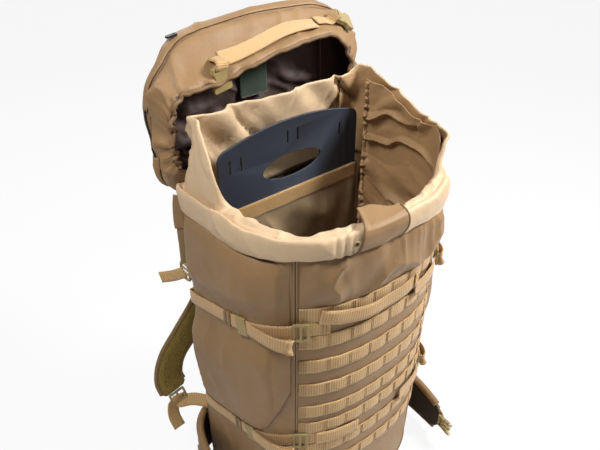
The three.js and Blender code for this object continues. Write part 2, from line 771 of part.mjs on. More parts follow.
function lidCover() {
  const edge = lidDeep * 0.93;
  const ring = (n, inset, crown = 0) => lidStep(skirtDeep, inset).map((p) => p.setY(lidHemY + n + crown));
  const rings = [
    ring(lidDeep - lidCloth, lidHalf * 0.45, lidCrown),
    ring(edge - lidCloth, lidHalf * 0.12, lidCrown / 2),
    ring(edge - 3 * lidCloth, lidCloth * 1.6),
    ring(skirtDeep + gap, lidCloth),
    ring(skirtDeep + gap, 0),
    ring(edge - 3 * lidCloth, 0),
    ring(edge - lidCloth, lidCloth * 1.2),
    ring(edge, lidHalf * 0.065, lidCrown * 0.4),
    ring(lidDeep, lidHalf * 0.35, lidCrown),
  ];
  add("lid_cover", loft(rings), bodyCloth);
}

function lidLiner() {
  const n = skirtDeep - linerBack;
  const ring = (at) => lidStep(n - linerThick, lidCloth + 2 * gap).map((p) => p.setY(lidHemY + at));
  add("lid_liner", loft([ring(n - linerThick), ring(n)]), linerCloth);
}

// Plain loop strip sewn along the front of the skirt, on its upper side here
const stripHalf = 100 * mm;
const stripShift = 14 * mm; // its middle from the lid's middle
const stripFrom = 9 * mm;
function lidStrip() {
  const count = 8;
  const section = (across) => {
    const x = stripShift + across;
    const chain = (lift) => [stripFrom, stripFrom + webbing / 2, stripFrom + webbing].map((n) => {
      const swell = skirtSwell(n);
      const bow = lerp(hemBow, lidBow, swell);
      const r = bowRadius(lerp(hemHalf, lidHalf, swell) - lidCorner, bow);
      const high = lerp(hemLong, lidLong, swell) - r + Math.sqrt(r * r - x * x);
      return new THREE.Vector3(lidShift + x, lidHemY + n, lidHingeZ + high + lift);
    });
    return [...chain(4 * gap + stripThick), ...chain(4 * gap).reverse()];
  };
  const sections = Array.from({ length: count + 1 }, (_, k) =>
    section(lerp(-stripHalf, stripHalf, k / count)));
  add("lid_loop_strip", loft(sections), paleLoop);
}

// Zip pulls on the lid's gusset, which ride along its bowed front edge
const pullLong = 20 * mm;
const pullWide = 8 * mm;
const pullThick = 3 * mm;
const pullDepth = 70 * mm; // from the hem
const pullReach = 134 * mm; // from the lid's middle
function zipPulls() {
  const radius = bowRadius(lidHalf - lidCorner, lidBow);
  for (const [side, sign] of sides) {
    const angle = Math.asin((sign * pullReach) / radius);
    const shape = roundedRect(pullLong, pullWide, pullWide * 0.45);
    const blank = new THREE.ExtrudeGeometry(shape, {
      depth: pullThick, bevelEnabled: false, curveSegments: 3,
    });
    const eyeHalf = pullWide * 0.2;
    const eye = boxCutter(pullLong * 0.12, pullLong * 0.34, -eyeHalf, eyeHalf, pullThick);
    const geometry = cut(blank, [eye]);
    const radial = new THREE.Vector3(Math.sin(angle), 0, Math.cos(angle));
    const along = new THREE.Vector3(Math.cos(angle), 0, -Math.sin(angle));
    const centre = new THREE.Vector3(lidShift, lidHemY + pullDepth, lidHingeZ + lidLong - radius);
    const place = centre.clone().addScaledVector(radial, radius + 2 * gap);
    add(`lid_zip_${side}`, geometry, blackPlastic, basis(place, along, rearward, radial));
  }
}

// Side-release buckle halves. The female half hangs by its bar; the male half has two prongs.
const shellWide = 34 * mm;
const shellLong = 40 * mm;
const shellThick = 9 * mm;
function femaleBuckle() {
  const w = shellWide / 2;
  const shape = new THREE.Shape();
  shape.moveTo(-w * 0.72, 0);
  shape.lineTo(w * 0.72, 0);
  shape.lineTo(w * 0.8, -shellLong * 0.22);
  shape.quadraticCurveTo(w * 0.62, -shellLong * 0.34, w * 0.66, -shellLong * 0.5);
  shape.quadraticCurveTo(w * 0.7, -shellLong * 0.62, w, -shellLong * 0.7);
  shape.lineTo(w, -shellLong * 0.94);
  shape.quadraticCurveTo(w * 0.95, -shellLong, w * 0.8, -shellLong);
  shape.lineTo(-w * 0.8, -shellLong);
  shape.quadraticCurveTo(-w * 0.95, -shellLong, -w, -shellLong * 0.94);
  shape.lineTo(-w, -shellLong * 0.7);
  shape.quadraticCurveTo(-w * 0.7, -shellLong * 0.62, -w * 0.66, -shellLong * 0.5);
  shape.quadraticCurveTo(-w * 0.62, -shellLong * 0.34, -w * 0.8, -shellLong * 0.22);
  shape.closePath();
  const edge = 1 * mm;
  const shell = new THREE.ExtrudeGeometry(shape, {
    depth: shellThick - 2 * edge, bevelEnabled: true, bevelThickness: edge, bevelSize: edge,
    bevelOffset: -edge, bevelSegments: 1, curveSegments: 3,
  }).translate(0, 0, edge);
  const slot = boxCutter(-w * 0.56, w * 0.56, -shellLong * 0.17, -shellLong * 0.07, shellThick);
  const mouth = new THREE.BoxGeometry(w * 1.5, shellLong * 0.5, shellThick * 0.5);
  return cut(shell, [slot, mouth.translate(0, -shellLong, shellThick / 2)]);
}

function maleBuckle() {
  const w = shellWide / 2;
  const shape = new THREE.Shape();
  shape.moveTo(-w * 0.85, 0);
  shape.lineTo(w * 0.85, 0);
  shape.lineTo(w * 0.85, -shellLong * 0.36);
  shape.lineTo(w * 0.98, -shellLong * 0.62);
  shape.quadraticCurveTo(w * 0.95, -shellLong * 0.86, w * 0.7, -shellLong * 0.92);
  shape.lineTo(w * 0.52, -shellLong * 0.7);
  shape.lineTo(w * 0.5, -shellLong * 0.42);
  shape.lineTo(w * 0.16, -shellLong * 0.42);
  shape.lineTo(w * 0.12, -shellLong * 0.82);
  shape.lineTo(-w * 0.12, -shellLong * 0.82);
  shape.lineTo(-w * 0.16, -shellLong * 0.42);
  shape.lineTo(-w * 0.5, -shellLong * 0.42);
  shape.lineTo(-w * 0.52, -shellLong * 0.7);
  shape.lineTo(-w * 0.7, -shellLong * 0.92);
  shape.quadraticCurveTo(-w * 0.95, -shellLong * 0.86, -w * 0.98, -shellLong * 0.62);
  shape.lineTo(-w * 0.85, -shellLong * 0.36);
  shape.closePath();
  const thick = shellThick * 0.55;
  const plate = new THREE.ExtrudeGeometry(shape, { depth: thick, bevelEnabled: false, curveSegments: 3 });
  const slot = boxCutter(-w * 0.6, w * 0.6, -shellLong * 0.24, -shellLong * 0.12, thick);
  return cut(plate, [slot]).translate(0, 0, (shellThick - thick) / 2);
}

// The left shell hangs from the hem. The right one lies on the corner of the skirt.
const hangPlace = -98 * mm; // of the left shell, from the lid's middle
const facetClear = 0.2 * mm; // under the facets of the curved hem
const layAngle = (62 * Math.PI) / 180; // of the right shell on the corner, from level
const layMiddle = 25 * mm; // its middle, from the hem
const laySink = 0.5 * mm; // the facets lie under the true curve of the corner

function lowerLidBuckle() {
  const half = hemHalf - lidCloth - lidCorner;
  const r = bowRadius(half, hemBow);
  const headHalf = shellWide * 0.36;
  const sag = r - Math.sqrt(r * r - headHalf * headHalf);
  const slope = Math.asin(hangPlace / r);
  const normal = new THREE.Vector3(Math.sin(slope), 0, Math.cos(slope));
  const along = new THREE.Vector3(Math.cos(slope), 0, -Math.sin(slope));
  const high = lidHingeZ + hemLong - lidCloth;
  const z = high - r + Math.sqrt(r * r - hangPlace * hangPlace);
  const place = new THREE.Vector3(lidShift + hangPlace, lidHemY, z);
  place.addScaledVector(normal, -sag - facetClear);
  const seat = new THREE.Matrix4().makeTranslation(0, 0, -shellThick - gap);
  add("lid_buckle_left", femaleBuckle(), tanPlastic,
    basis(place, along, normal, rearward.clone().negate()).multiply(seat));
}

// A place on the skirt's rounded right corner
function skirtCorner(angle, n) {
  const swell = skirtSwell(n);
  const side = lerp(hemLong, lidLong, swell) - lerp(hemBow, lidBow, swell);
  return new THREE.Vector3(
    lidShift + lerp(hemHalf, lidHalf, swell) - lidCorner * (1 - Math.cos(angle)),
    lidHemY + n,
    lidHingeZ + side - lidCorner * (1 - Math.sin(angle)),
  );
}

function upperLidBuckle() {
  const low = skirtCorner(layAngle, layMiddle - shellWide / 2);
  const high = skirtCorner(layAngle, layMiddle + shellWide / 2);
  const across = high.sub(low).normalize();
  const along = new THREE.Vector3(-Math.sin(layAngle), 0, Math.cos(layAngle));
  const out = new THREE.Vector3().crossVectors(across, along).normalize();
  const upright = new THREE.Vector3().crossVectors(out, across);
  const place = skirtCorner(layAngle, layMiddle).addScaledVector(out, -laySink);
  place.addScaledVector(upright, shellLong / 2);
  add("lid_buckle_right", femaleBuckle(), tanPlastic, basis(place, across, upright, out));
}

// Tape that joins the lid's hinge edge to the back of the bag
const tapeHalf = 128 * mm;
const tapeFoot = 586 * mm;
const tapeThick = 1.4 * mm;
const tapeFlat = 22 * mm; // sewn down on the back panel
const tapeRamp = 12 * mm;
const tapeBelowHem = 2.6 * mm;
function hingeTape() {
  const low = backDepth + gap;
  const high = backDepth + collarOut + 2 * gap;
  const top = lidHingeZ - tapeBelowHem;
  const bend = tapeFoot + tapeFlat;
  const shape = new THREE.Shape();
  shape.moveTo(low, tapeFoot);
  shape.lineTo(low + tapeThick, tapeFoot);
  shape.lineTo(low + tapeThick, bend);
  shape.lineTo(high + tapeThick, bend + tapeRamp);
  shape.lineTo(high + tapeThick, top);
  shape.lineTo(high, top);
  shape.lineTo(high, bend + tapeRamp);
  shape.lineTo(low, bend);
  shape.closePath();
  const geometry = new THREE.ExtrudeGeometry(shape, { depth: 2 * tapeHalf, bevelEnabled: false });
  geometry.translate(0, 0, -tapeHalf);
  geometry.applyMatrix4(basis(new THREE.Vector3(), rearward, up, new THREE.Vector3(1, 0, 0)));
  add("lid_hinge_tape", geometry, strapWeb);
}

// A cushion on a plane facing +Y: crowned, with sides that draw in between its corners.
// Channels are heights across it, as shares, where stitching holds it down.
const cushionSteps = 10;
function cushion({ half, low, high, thick, crown, draw, channelShares = [], shift = 0 }) {
  const rows = [];
  for (let j = 0; j <= cushionSteps; j += 1) {
    const v = j / cushionSteps;
    const bulge = 1 - Math.abs(2 * v - 1) ** 3;
    const corner = j === 0 || j === cushionSteps ? draw * 1.5 : 0;
    const width = half - draw * (1 - (2 * v - 1) ** 2) - corner;
    const held = channelShares.some((c) => Math.abs(c - v) < 0.5 / cushionSteps) ? 0.35 : 1;
    const place = (u, rise) => new THREE.Vector3(
      shift + lerp(-width, width, u), backFace + rise, lerp(low, high, v));
    const steps = Array.from({ length: cushionSteps + 1 }, (_, i) => i / cushionSteps);
    const face = steps.map((u) =>
      place(u, thick + crown * bulge * held * (1 - Math.abs(2 * u - 1) ** 3)));
    const seat = steps.map((u) => place(1 - u, 0));
    rows.push([...face, ...seat]);
  }
  return loft(rows);
}

const backFace = backDepth + gap;
const backPad = {
  half: 46 * mm, low: 214 * mm, high: 446 * mm, thick: 5 * mm, crown: 10 * mm, draw: 5 * mm,
  channelShares: [0.3, 0.6],
};
const padShift = 62 * mm; // each pad's middle from the bag's middle
const lumbarPad = {
  half: 104 * mm, low: 62 * mm, high: 196 * mm, thick: 7 * mm, crown: 13 * mm, draw: 7 * mm,
  channelShares: [0.5],
};
const yokePad = {
  half: 118 * mm, low: 456 * mm, high: 546 * mm, thick: 5 * mm, crown: 3 * mm, draw: 4 * mm,
};
function backPads() {
  for (const [side, sign] of sides) {
    add(`back_pad_${side}`, cushion({ ...backPad, shift: sign * padShift }), mesh3d);
  }
  add("lumbar_pad", cushion(lumbarPad), mesh3d);
  add("yoke_pad", cushion(yokePad), bodyCloth);
}

// A padded or flat strap swept along stations: width lies along across, thickness along out
function sweep(stations, round = 0.5, corners = 10) {
  return loft(stations.map(({ at, wide, thick, across, out }) => {
    const ring = [];
    for (let k = 0; k < corners; k += 1) {
      const t = -Math.PI / 2 + (Math.PI * 2 * (k + 0.5)) / corners;
      const u = Math.sign(Math.cos(t)) * Math.abs(Math.cos(t)) ** round;
      const v = Math.sign(Math.sin(t)) * Math.abs(Math.sin(t)) ** round;
      ring.push(at.clone().addScaledVector(across, (u * wide) / 2).addScaledVector(out, (v * thick) / 2));
    }
    return ring;
  }));
}

// Axes of a strap that runs along a tangent with its face towards the wearer
function crossOf(tangent) {
  const across = new THREE.Vector3().crossVectors(rearward, tangent).normalize();
  return { across, out: new THREE.Vector3().crossVectors(tangent, across).normalize() };
}

// A flat strap along a path, turned on its way to lie flat on what it lands on
const flatRound = 0.2; // how squarely the four corners of a flat strap stand out
function ribbon(path, wide, steps, landing = null) {
  const stations = Array.from({ length: steps + 1 }, (_, k) => {
    const tangent = path.getTangentAt(k / steps);
    const { across } = crossOf(tangent);
    if (landing) across.lerp(landing, k / steps).normalize();
    const out = new THREE.Vector3().crossVectors(tangent, across).normalize();
    return { at: path.getPointAt(k / steps), across, out, wide, thick: webThick };
  });
  return sweep(stations, flatRound, 4);
}

// Shoulder straps: padded, sewn to the yoke, bowed away from the bag and out past its sides
const strapPadThick = 13 * mm;
const strapPadWide = 66 * mm;
const strapSewnZ = 534 * mm;
const strapSpread = 222 * mm; // furthest from the bag's middle
const strapStandOff = 52 * mm; // furthest from where it is sewn
const strapDrop = 352 * mm;
const strapEndShare = 0.62; // thickness left at the sewn and bound ends
const strapOutShares = [0.27, 0.32, 0.41, 0.544, 0.71, 0.865, 0.97, 1, 0.97];
const strapOffShares = [0, 0.34, 0.64, 0.84, 0.95, 1, 0.95, 0.82, 0.64];
const strapDropShares = [0, 0.09, 0.21, 0.345, 0.483, 0.62, 0.76, 0.9, 1];
const strapSewnY = backFace + yokePad.thick + yokePad.crown + (strapPadThick / 2) * strapEndShare;

function strapRoute(sign) {
  return new THREE.CatmullRomCurve3(strapOutShares.map((share, k) => new THREE.Vector3(
    sign * share * strapSpread,
    strapSewnY + strapStandOff * strapOffShares[k],
    strapSewnZ - strapDrop * strapDropShares[k],
  )));
}

const padSteps = 16;
function shoulderStraps() {
  for (const [side, sign] of sides) {
    const curve = strapRoute(sign);
    const stations = Array.from({ length: padSteps + 1 }, (_, k) => {
      const s = k / padSteps;
      const bound = k === 0 || k === padSteps;
      return {
        at: curve.getPointAt(s),
        ...crossOf(curve.getTangentAt(s)),
        wide: strapPadWide * lerp(1, 0.86, s) * (bound ? 0.86 : 1),
        thick: strapPadThick * (bound ? strapEndShare : 1),
      };
    });
    add(`shoulder_strap_${side}`, sweep(stations), mesh3d);
  }
}

// Ladder lock at each shoulder strap's lower end, and the webbing from it to the base corner
const lockLong = 26 * mm;
const lockWide = 34 * mm;
const anchorReach = 162 * mm; // along the wall from the back's middle
const anchorZ = 148 * mm;
function strapLocks() {
  for (const [side, sign] of sides) {
    const curve = strapRoute(sign);
    const end = curve.getPointAt(1);
    const tangent = curve.getTangentAt(1);
    const { across, out } = crossOf(tangent);
    const centre = end.clone().addScaledVector(tangent, lockLong / 2 + 2 * gap);
    centre.addScaledVector(out, -buckleThick / 2);
    const upward = tangent.clone().negate();
    add(`strap_lock_${side}`, ladderBuckle(lockWide, lockLong, buckleThick), tanPlastic,
      basis(centre, across, upward, across.clone().cross(upward)));
    const start = end.clone().addScaledVector(tangent, lockLong + 5 * gap);
    const foot = wall(sign * (halfLength - anchorReach), anchorZ, webThick);
    const bend = start.clone().addScaledVector(tangent, start.distanceTo(foot) * 0.4);
    const path = new THREE.QuadraticBezierCurve3(start, bend, foot);
    add(`shoulder_webbing_${side}`, ribbon(path, webbing, 8), strapWeb);
  }
}

// Load lifters, from the rear top corners of the bag down to the shoulder straps
const smallWeb = 20 * mm; // webbing of the lifters and the sternum strap
const lifterX = 146 * mm;
const lifterZ = 604 * mm;
const lifterShift = 18 * mm; // its lower end lies this far off the strap's middle line
const lifterSlack = 32 * mm;
const lifterReachShare = 0.14; // of the shoulder strap, where the lifter lands
const lifterLift = (strapPadThick + webThick) / 2;
function loadLifters() {
  for (const [side, sign] of sides) {
    const start = new THREE.Vector3(sign * lifterX, backDepth + collarOut + gap, lifterZ);
    const curve = strapRoute(sign);
    const { across, out } = crossOf(curve.getTangentAt(lifterReachShare));
    const end = curve.getPointAt(lifterReachShare).addScaledVector(out, lifterLift);
    end.addScaledVector(across, -sign * lifterShift);
    const bend = start.clone().lerp(end, 0.5).addScaledVector(rearward, lifterSlack);
    const path = new THREE.QuadraticBezierCurve3(start, bend, end);
    add(`load_lifter_${side}`, ribbon(path, smallWeb, 6, across), strapWeb);
  }
}

// Sternum strap halves, which slide on the shoulder straps
const sternumShare = 0.36; // of the shoulder strap, from its sewn end
const sternumLong = 78 * mm;
const sternumTail = 20 * mm;
const sternumRise = 14 * mm; // the loose ends stand off the back
const sternumDrop = 16 * mm;
function sternumStrap() {
  for (const [side, sign] of sides) {
    const curve = strapRoute(sign);
    const { out } = crossOf(curve.getTangentAt(sternumShare));
    const lift = (strapPadThick + webThick) / 2 + 3 * gap;
    const at = curve.getPointAt(sternumShare).addScaledVector(out, lift);
    const inner = at.clone().add(new THREE.Vector3(-sign * sternumLong, sternumRise, -sternumDrop));
    const outer = at.clone().add(new THREE.Vector3(sign * sternumTail, sternumRise / 4, 0));
    const path = new THREE.CatmullRomCurve3([
      outer, at.clone().addScaledVector(rearward, gap), at.clone().lerp(inner, 0.55), inner,
    ]);
    add(`sternum_half_${side}`, ribbon(path, smallWeb, 6), strapWeb);
  }
}

// Grab handle at the top of the back
const handleHalf = 62 * mm;
const handleLow = 552 * mm;
const handleThick = 3 * mm;
const handleTab = 14 * mm; // sewn down at each end
const handleRise = 17 * mm;
function grabHandle() {
  const low = backFace;
  const crest = handleRise * 0.94;
  const shape = new THREE.Shape();
  shape.moveTo(-handleHalf, low);
  shape.lineTo(-handleHalf + handleTab, low);
  shape.quadraticCurveTo(-handleHalf * 0.5, low + crest, 0, low + handleRise);
  shape.quadraticCurveTo(handleHalf * 0.5, low + crest, handleHalf - handleTab, low);
  shape.lineTo(handleHalf, low);
  shape.lineTo(handleHalf, low + handleThick);
  shape.lineTo(handleHalf - handleTab * 0.7, low + handleThick);
  shape.quadraticCurveTo(handleHalf * 0.56, low + crest + handleThick, 0,
    low + handleRise + handleThick);
  shape.quadraticCurveTo(-handleHalf * 0.56, low + crest + handleThick,
    -handleHalf + handleTab * 0.7, low + handleThick);
  shape.lineTo(-handleHalf, low + handleThick);
  shape.closePath();
  const geometry = new THREE.ExtrudeGeometry(shape, {
    depth: webbing, bevelEnabled: false, curveSegments: 6,
  });
  add("grab_handle", geometry.translate(0, 0, handleLow), strapWeb);
}

// Hip belt wings: padded, lying on the back panel and curving forward round the bag
const wingMiddleZ = 78 * mm;
const wingThick = 17 * mm;
const wingSpread = 230 * mm; // furthest from the bag's middle
const wingRun = 283 * mm; // from the back forward to the tip
const wingTall = 106 * mm;
const wingSink = 22 * mm; // the tips hang this far below the roots
const wingOutShares = [0.513, 0.62, 0.75, 0.885, 0.975, 1, 0.983, 0.93];
const wingRunShares = [0, 0, -0.018, 0.08, 0.28, 0.52, 0.76, 1];
const wingTallShares = [0.87, 0.98, 1, 0.96, 0.91, 0.85, 0.77, 0.62];
const wingSinkShares = [0, 0, 0.09, 0.27, 0.45, 0.64, 0.82, 1];
const wingSeatY = backFace + wingThick / 2;

function wings() {
  for (const [side, sign] of sides) {
    const curve = new THREE.CatmullRomCurve3(wingOutShares.map((share, k) => new THREE.Vector3(
      sign * share * wingSpread,
      wingSeatY - wingRun * wingRunShares[k],
      wingMiddleZ - wingSink * wingSinkShares[k],
    )));
    const stations = Array.from({ length: padSteps + 1 }, (_, k) => {
      const s = k / padSteps;
      const t = curve.getTangentAt(s).setZ(0).normalize();
      const slot = s * (wingTallShares.length - 1);
      const j = Math.min(wingTallShares.length - 2, Math.floor(slot));
      const tall = wingTall * lerp(wingTallShares[j], wingTallShares[j + 1], slot - j);
      return {
        at: curve.getPointAt(s),
        across: up,
        out: new THREE.Vector3(sign * t.y, -sign * t.x, 0),
        wide: tall * (k === padSteps ? 0.86 : 1),
        thick: wingThick * (k === padSteps ? 0.6 : 1),
      };
    });
    add(`hip_wing_${side}`, sweep(stations), mesh3d);
    const t = curve.getTangentAt(1).setZ(0).normalize();
    const back = t.clone().negate();
    const place = curve.getPointAt(1).addScaledVector(t, 2 * gap);
    const centred = new THREE.Matrix4().makeTranslation(0, 0, -shellThick / 2);
    add(`hip_buckle_${side}`, sign < 0 ? femaleBuckle() : maleBuckle(), tanPlastic,
      basis(place, up, back, up.clone().cross(back)).multiply(centred));
  }
}

bodyPanels();
basePan();
webbingRows();
sidePockets();
strapFittings();
collar();
stormTab();
frameSheet();
sleeve();
sleeveStrip();
lidSkirt();
lidCover();
lidLiner();
lidStrip();
zipPulls();
lowerLidBuckle();
upperLidBuckle();
hingeTape();
backPads();
shoulderStraps();
strapLocks();
loadLifters();
sternumStrap();
grabHandle();
wings();

export default backpack;
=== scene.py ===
"""Looks of a large hunting backpack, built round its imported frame. Metres."""
import math

import bpy
import numpy as np
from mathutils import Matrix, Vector


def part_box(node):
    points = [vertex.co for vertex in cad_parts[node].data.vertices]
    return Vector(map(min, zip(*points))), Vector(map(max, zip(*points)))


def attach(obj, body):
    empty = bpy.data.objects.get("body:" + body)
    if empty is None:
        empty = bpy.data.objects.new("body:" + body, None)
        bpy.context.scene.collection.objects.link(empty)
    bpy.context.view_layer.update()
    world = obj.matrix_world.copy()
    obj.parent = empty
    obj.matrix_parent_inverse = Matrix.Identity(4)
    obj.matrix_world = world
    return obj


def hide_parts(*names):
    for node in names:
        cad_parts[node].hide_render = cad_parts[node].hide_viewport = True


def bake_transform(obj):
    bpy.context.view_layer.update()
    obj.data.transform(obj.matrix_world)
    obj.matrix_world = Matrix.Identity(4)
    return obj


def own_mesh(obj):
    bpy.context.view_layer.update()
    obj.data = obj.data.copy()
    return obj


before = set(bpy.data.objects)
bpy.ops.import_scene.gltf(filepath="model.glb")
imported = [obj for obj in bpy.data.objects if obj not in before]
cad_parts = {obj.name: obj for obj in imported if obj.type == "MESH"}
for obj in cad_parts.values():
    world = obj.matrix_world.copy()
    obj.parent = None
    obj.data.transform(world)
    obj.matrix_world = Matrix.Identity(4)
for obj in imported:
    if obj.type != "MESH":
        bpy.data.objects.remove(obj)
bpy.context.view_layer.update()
PI = math.pi
SIDES = (("left", -1), ("right", 1))

# The bag's measures
RIM = 0.640
BASE = 0.040
HALF, FRONT, BACK = 0.190, 0.145, 0.146
WIDTH_AT = ([0, 0.008, 0.03, 0.0625, 0.25, 0.5, 1], [0.86, 0.93, 0.96, 0.97, 0.978, 0.985, 1])
FRONT_AT = ([0, 0.008, 0.03, 0.0625, 0.3, 0.6, 1], [0.76, 0.83, 0.87, 0.88, 0.93, 0.97, 1])
BACK_AT = ([0, 0.008, 0.03, 0.0625, 1], [0.88, 0.95, 0.985, 1, 1])
SEAM, CORNER = 0.166, 0.184  # seams: reach from the front middle, and from the back middle
GAP = 0.0003  # between pieces that touch
WEB, WEB_THICK = 0.025, 0.0018
WALL_THICK, LID_THICK = 0.003, 0.0012
HIGH_STRAP, LOW_STRAP = (0.4945, 0.437), (0.2535, 0.190)  # heights at the front seam and the rear corner
ROWS = [0.5205, 0.4685, 0.4185, 0.3685, 0.3185, 0.2795, 0.2275, 0.1775]
STITCH = 0.038  # from one row of stitches across a tape to the next
EDGE_SAG = 0.0004  # how far the edges of webbing lie below its middle


def smooth(v):
    v = np.clip(v, 0, 1)
    return v * v * (3 - 2 * v)


def lerp(a, b, f):
    return a + (b - a) * f


def unit_outline():
    """Half of the bag's outline at half widths of 1, with the distance along it at the rim."""
    t = np.linspace(-PI / 2, PI / 2, 1441)
    n = np.where(t < 0, 2.45, 12)
    x = np.abs(np.cos(t)) ** (2 / n)
    y = np.sign(t) * np.abs(np.sin(t)) ** (2 / n)
    px, py = x * HALF, y * np.where(t < 0, FRONT, BACK)
    return x, y, np.r_[0, np.cumsum(np.hypot(np.diff(px), np.diff(py)))]


UNIT_X, UNIT_Y, UNIT_L = unit_outline()
HALF_LENGTH = UNIT_L[-1]
CORNER_AT = HALF_LENGTH - CORNER


def wrapped(l):
    """Reach along the outline, from minus to plus half of its length."""
    return (l + HALF_LENGTH) % (2 * HALF_LENGTH) - HALF_LENGTH


def wall(l, z, off=0.0):
    """Places on the bag's wall: reach along the outline from the front middle, height, distance off it."""
    l, z, off = np.broadcast_arrays(np.asarray(l, float), z, off)
    l = wrapped(l)
    a = np.abs(l)
    ux, uy = np.interp(a, UNIT_L, UNIT_X), np.interp(a, UNIT_L, UNIT_Y)
    s = np.clip(z / RIM, 0, 1)
    half = HALF * np.interp(s, *WIDTH_AT) + off
    depth = np.where(uy < 0, FRONT * np.interp(s, *FRONT_AT), BACK * np.interp(s, *BACK_AT)) + off
    return np.stack([np.where(l < 0, -1, 1) * half * ux, depth * uy, z + 0.0], -1)


def lattice(iu, iv, seed):
    v = np.sin(iu * 127.1 + iv * 311.7 + seed * 74.7) * 43758.5453
    return v - np.floor(v)


def noise(u, v, seed=0):
    """Smooth noise from -1 to 1 over a plane."""
    u, v = np.broadcast_arrays(np.asarray(u, float), v)
    iu, iv = np.floor(u), np.floor(v)
    fu, fv = smooth(u - iu), smooth(v - iv)
    low = lerp(lattice(iu, iv, seed), lattice(iu + 1, iv, seed), fu)
    high = lerp(lattice(iu, iv + 1, seed), lattice(iu + 1, iv + 1, seed), fu)
    return 2 * lerp(low, high, fv) - 1


def crease(u, v, seed=0, sharp=2.0):
    """Narrow crests with wide valleys between them, from 0 to 1."""
    return (1 - np.abs(noise(u, v, seed))) ** sharp


# Materials
def linear(code):
    out = []
    for k in (0, 2, 4):
        c = int(code[k:k + 2], 16) / 255
        out.append(c / 12.92 if c <= 0.04045 else ((c + 0.055) / 1.055) ** 2.4)
    return tuple(out) + (1.0,)


def tint(colour, share):
    return tuple(min(1.0, c * share) for c in colour[:3]) + (1.0,)


class Shader:
    """A principled material put together node by node."""

    def __init__(self, name, rough):
        self.material = bpy.data.materials.new(name)
        self.material.use_nodes = True
        self.tree = self.material.node_tree
        self.base = self.tree.nodes["Principled BSDF"]
        self.base.inputs["Roughness"].default_value = rough
        self.base.inputs["Specular IOR Level"].default_value = 0.3
        self.coords = self.add("ShaderNodeTexCoord")
        self.bump = None

    def add(self, kind, **values):
        node = self.tree.nodes.new(kind)
        for key, value in values.items():
            if hasattr(node, key):
                setattr(node, key, value)
            else:
                node.inputs[key.replace("_", " ")].default_value = value
        return node

    def link(self, a, b):
        self.tree.links.new(a, b)

    def space(self, kind, scale=(1, 1, 1), turn=0.0):
        node = self.add("ShaderNodeMapping")
        node.inputs["Scale"].default_value = scale
        node.inputs["Rotation"].default_value = (0, 0, turn)
        self.link(self.coords.outputs[kind], node.inputs["Vector"])
        return node.outputs[0]

    def blend(self, factor, low, high):
        node = self.add("ShaderNodeMix", data_type="RGBA")
        self.link(factor, node.inputs[0])
        for value, slot in ((low, node.inputs[6]), (high, node.inputs[7])):
            if isinstance(value, tuple):
                slot.default_value = value
            else:
                self.link(value, slot)
        return node.outputs[2]

    def noise(self, vector, scale, detail=2.0, distortion=0.0):
        node = self.add("ShaderNodeTexNoise", Scale=scale, Detail=detail, Distortion=distortion)
        self.link(vector, node.inputs["Vector"])
        return node.outputs[0]

    def wave(self, pitch, direction):
        """Bands over the uv, one for every pitch in metres."""
        node = self.add("ShaderNodeTexWave", Scale=1 / pitch / 6.28)
        node.bands_direction = direction
        self.link(self.space("UV"), node.inputs["Vector"])
        return node.outputs["Fac"]

    def mixed(self, a, b, share):
        """Two values added in shares that make up 1."""
        rest = round(1 - share, 2)
        return self.math("ADD", self.math("MULTIPLY", a, share), self.math("MULTIPLY", b, rest))

    def math(self, operation, a, b):
        node = self.add("ShaderNodeMath", operation=operation)
        for value, slot in ((a, node.inputs[0]), (b, node.inputs[1])):
            if isinstance(value, (int, float)):
                slot.default_value = value
            else:
                self.link(value, slot)
        return node.outputs[0]

    def relief(self, height, depth):
        node = self.add("ShaderNodeBump", Distance=depth)
        self.link(height, node.inputs["Height"])
        if self.bump is not None:
            self.link(self.bump, node.inputs["Normal"])
        self.bump = node.outputs[0]
        self.link(self.bump, self.base.inputs["Normal"])

    def paint(self, colour):
        self.link(colour, self.base.inputs["Base Color"])


WEAVE_PITCH, WEAVE_DEPTH = 0.0011, 0.00012
RIB_PITCH, THREAD_PITCH = 0.0021, 0.0016


def cloth(name, code, rough=0.5, mottle=0.12, crumple=0.0006, sheen=0.04, crumple_scale=70.0):
    """Coated plain weave, crumpled and a little uneven in colour."""
    s = Shader(name, rough)
    colour = linear(code)
    place = s.space("Object")
    soft = s.noise(place, 9.0, 3.0, 0.4)
    fine = s.noise(place, 55.0, 3.0, 0.2)
    flat = s.math("MULTIPLY", s.math("SUBTRACT", s.mixed(soft, fine, 0.65), 0.3), 2.5)
    thread = s.noise(place, 900.0, 1.0)
    body = s.blend(flat, tint(colour, 1 - mottle), tint(colour, 1 + mottle))
    s.paint(s.blend(s.math("MULTIPLY", thread, 0.35), body, tint(colour, 0.72)))
    s.relief(s.math("MAXIMUM", s.wave(WEAVE_PITCH, "X"), s.wave(WEAVE_PITCH, "Y")), WEAVE_DEPTH)
    s.relief(s.noise(place, crumple_scale, 4.0, 0.9), crumple)
    s.base.inputs["Sheen Weight"].default_value = sheen
    s.base.inputs["Sheen Roughness"].default_value = 0.4
    return s.material


def webbing(name, code, deep=0.00045):
    """Narrow woven tape: ribs across its length, fine lengthwise threads."""
    s = Shader(name, 0.75)
    colour = linear(code)
    both = s.mixed(s.wave(RIB_PITCH, "X"), s.wave(THREAD_PITCH, "Y"), 0.65)
    wear = s.noise(s.space("Object"), 40.0, 3.0)
    # the rib pattern is real, but its colour follows the relief: painted shade in the hollows and painted
    # highlight on the crests
    shade = s.blend(both, tint(colour, 0.66), tint(colour, 1.16))
    s.paint(s.blend(s.math("MULTIPLY", wear, 0.5), shade, tint(colour, 0.82)))
    s.relief(both, deep)
    s.base.inputs["Sheen Weight"].default_value = 0.2
    return s.material


